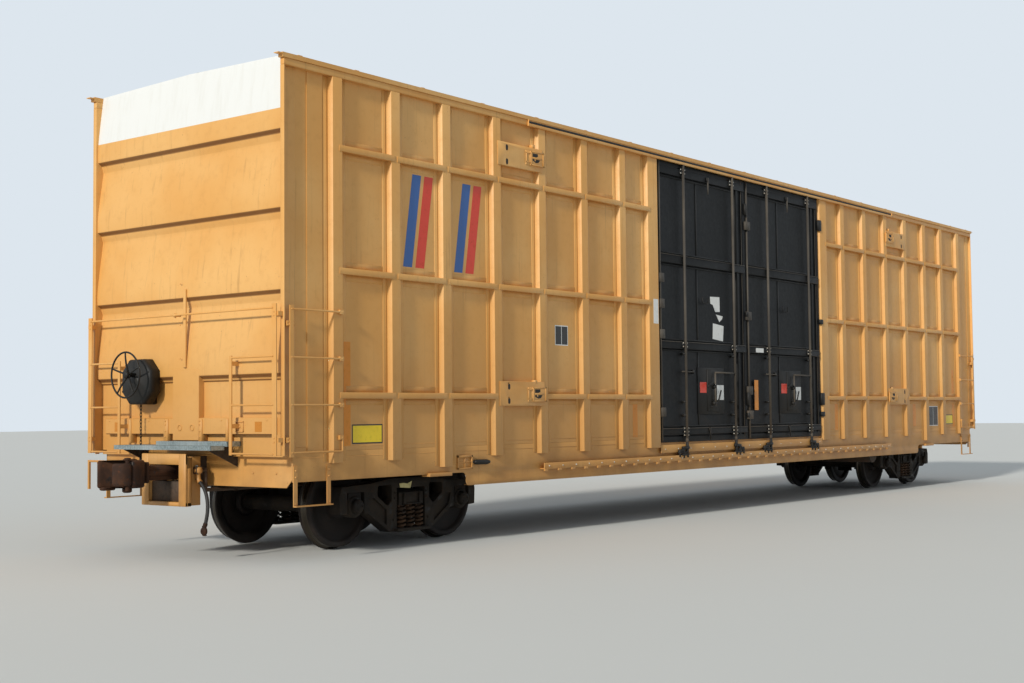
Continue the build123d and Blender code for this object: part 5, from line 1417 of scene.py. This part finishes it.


# Draft pockets: dark plates inside the striker's opening as painted shade, the striker's rim and flange, and the
# carrier's front
pocketShape = {
    "liners": (
        (9.44, 9.608, -0.235, -0.2338, 0.62, 1.0, 0.0), (9.44, 9.608, 0.2338, 0.235, 0.62, 1.0, 0.0),
        (9.44, 9.62, -0.1112, -0.11, 0.62, 0.829, 0.0), (9.44, 9.62, 0.11, 0.1112, 0.62, 0.829, 0.0),
        (9.44, 9.608, -0.235, 0.235, 0.9988, 1.0, 0.0), (9.44, 9.608, -0.235, 0.235, 0.62, 0.6212, 0.0),
        (9.434, 9.44, -0.235, 0.235, 0.62, 0.819, 0.0),
    ),
    "striker": (
        (9.555, 9.62, -0.3, -0.235, 0.56, 1.06, 0.0), (9.555, 9.62, 0.235, 0.3, 0.56, 1.06, 0.0),
        (9.555, 9.62, -0.235, 0.235, 1.0, 1.06, 0.0), (9.555, 9.62, -0.235, 0.235, 0.56, 0.62, 0.0),
        (9.61, 9.662, -0.363, -0.249, 0.557, 0.95, 0.004), (9.61, 9.662, 0.249, 0.363, 0.557, 0.95, 0.004),
        (9.66, 9.69, -0.363, -0.249, 0.557, 1.1, 0.006), (9.66, 9.69, 0.249, 0.363, 0.557, 1.1, 0.006),
        (9.66, 9.689, -0.363, 0.363, 0.985, 1.1, 0.006), (9.61, 9.689, -0.363, 0.363, 0.557, 0.6, 0.006),
    ),
    "apron": ((9.6, 9.645, -0.246, 0.246, 0.6, 0.812, 0.006),),
}
liners, striker, apron = (doubled(joined(blocks(pocketShape[name]))) for name in ("liners", "striker", "apron"))
addPiece("pocketLiners", liners, underPaint, smooth=False)
addPiece("strikerFaces", striker, trimPaint)
addPiece("carrierAprons", apron, underPaint)


# Underframe: long and cross stringers, brake rods with their lever, pipe brackets
underShape = {
    "stringers": [(-9.2, 9.2, y - 0.035, y + 0.035, 1.035, 1.069, 0.003) for y in (-1.08, -0.62, 0.62, 1.08)],
    "cross": ((-0.03, 0.03, -1.525, -0.165, 1.0, 1.0355, 0.003), (-0.03, 0.03, 0.165, 1.525, 1.0, 1.0355, 0.003)),
    "crossbearers": (0, 1.4, 2.8, 4.2, 5.6),  # no stringer this near to them
    "bracket": (-0.02, 0.02, -0.03, 0.03, 0.694, 0.702, 0.001),
    "lever": (-2.97, -2.9, 0.3, 0.95, 0.788, 0.812, 0.005),
    "rods": (
        (((-3.1, 0.72, 0.8), (-2.9, 0.72, 0.8)), 0.02, 12),
        (((-2.9, 0.74, 0.8), (0.4, 0.42, 0.8), (2.0, 0.3, 0.8)), 0.013, 10),
        (((-2.95, 0.5, 0.8), (-5.9, 0.28, 0.79)), 0.013, 10),
    ),
}


def makeUnderTrim(u):
    parts = blocks([*u["stringers"], u["lever"]])
    for x in np.arange(-6.3, 6.31, 0.7):
        if min(abs(abs(x) - place) for place in u["crossbearers"]) > 0.2:
            parts += blocks(u["cross"], x)
    for x in np.arange(-9.0, 9.1, 1.5):
        parts += blocks([u["bracket"]], x, -0.33 if x < 0.6 else 0.33)
    return joined(parts)


addPiece("floorStringers", makeUnderTrim(underShape), underPaint)
addPiece("brakeRods", joined(tubes(underShape["rods"])), castFinish)


# Roof: rivet rows beside each raised seam
roofShape = {
    "pitch": 1.05,
    "beside": 0.046,
    "rows": (0.12, 1.58, 0.12),  # first, last, pitch
    "peak": 5.1945,
    "slope": 0.0665 / 1.604,
    "rivet": (0.008, 0.004),
}


def makeRoofRivets(r):
    places = [seam * r["pitch"] + side * r["beside"] for seam in range(-8, 9) for side in (-1, 1)]
    ys = np.arange(*r["rows"])
    return heads([(places, (-y, y), (r["peak"] - r["slope"] * y,), *r["rivet"]) for y in ys], (0, 0, 1))


addPiece("roofRivets", joined(makeRoofRivets(roofShape)), deckFinish)
print("underframe and roof dressed")


# Floor and light
studio = {
    "floorTone": "#CFCFCB",
    "skyTone": "#DDE6EE",
    "worldStrength": 0.56,
    "sunStrength": 2.9,
    "sunFrom": (-0.90, -0.15, 0.44),
    "sunSoftness": 5,
}


def makeStudio(light):
    mesh = bpy.data.meshes.new("floor_plain")
    half = 120.0
    mesh.from_pydata([(-half, -half, 0), (half, -half, 0), (half, half, 0), (-half, half, 0)], [], [(0, 1, 2, 3)])
    ground = bpy.data.objects.new("studioFloor", mesh)
    bpy.context.scene.collection.objects.link(ground)
    floorTones = {"body": light["floorTone"], "clouded": "#BDBDB8", "sources": {"cloud": ("noise", 2.5, 3.0)}}
    material = makeFinish(
        "studioFloorMatt", {**floorTones, "layers": (("clouded", 0.12, ("cloud",)),), "sockets": {"Roughness": 0.9}}
    )
    mesh.materials.append(material)
    world = bpy.data.worlds.new("softSky")
    world.use_nodes = True
    tree = world.node_tree
    backdrop = tree.nodes["Background"]
    rays = [put(tree, "ShaderNodeLightPath", out=kind) for kind in ("Is Camera Ray", "Is Glossy Ray")]
    seen = put(tree, "ShaderNodeMath", dict(enumerate(rays)), operation="MAXIMUM")
    share = light["worldStrength"]
    strength = put(tree, "ShaderNodeMath", {0: seen, 1: 1 - share, 2: share}, operation="MULTIPLY_ADD")
    backdrop.inputs["Color"].default_value = tone(light["skyTone"])
    tree.links.new(strength, backdrop.inputs["Strength"])
    bpy.context.scene.world = world
    lamp = bpy.data.lights.new("softSun", "SUN")
    lamp.energy, lamp.angle = light["sunStrength"], math.radians(light["sunSoftness"])
    lamp.color = (1.0, 0.97, 0.9)
    sun = bpy.data.objects.new("softSun", lamp)
    sun.rotation_mode = "QUATERNION"
    sun.rotation_quaternion = Vector(light["sunFrom"]).to_track_quat("Z", "Y")
    bpy.context.scene.collection.objects.link(sun)
    bpy.context.scene.view_settings.view_transform = "Standard"


makeStudio(studio)
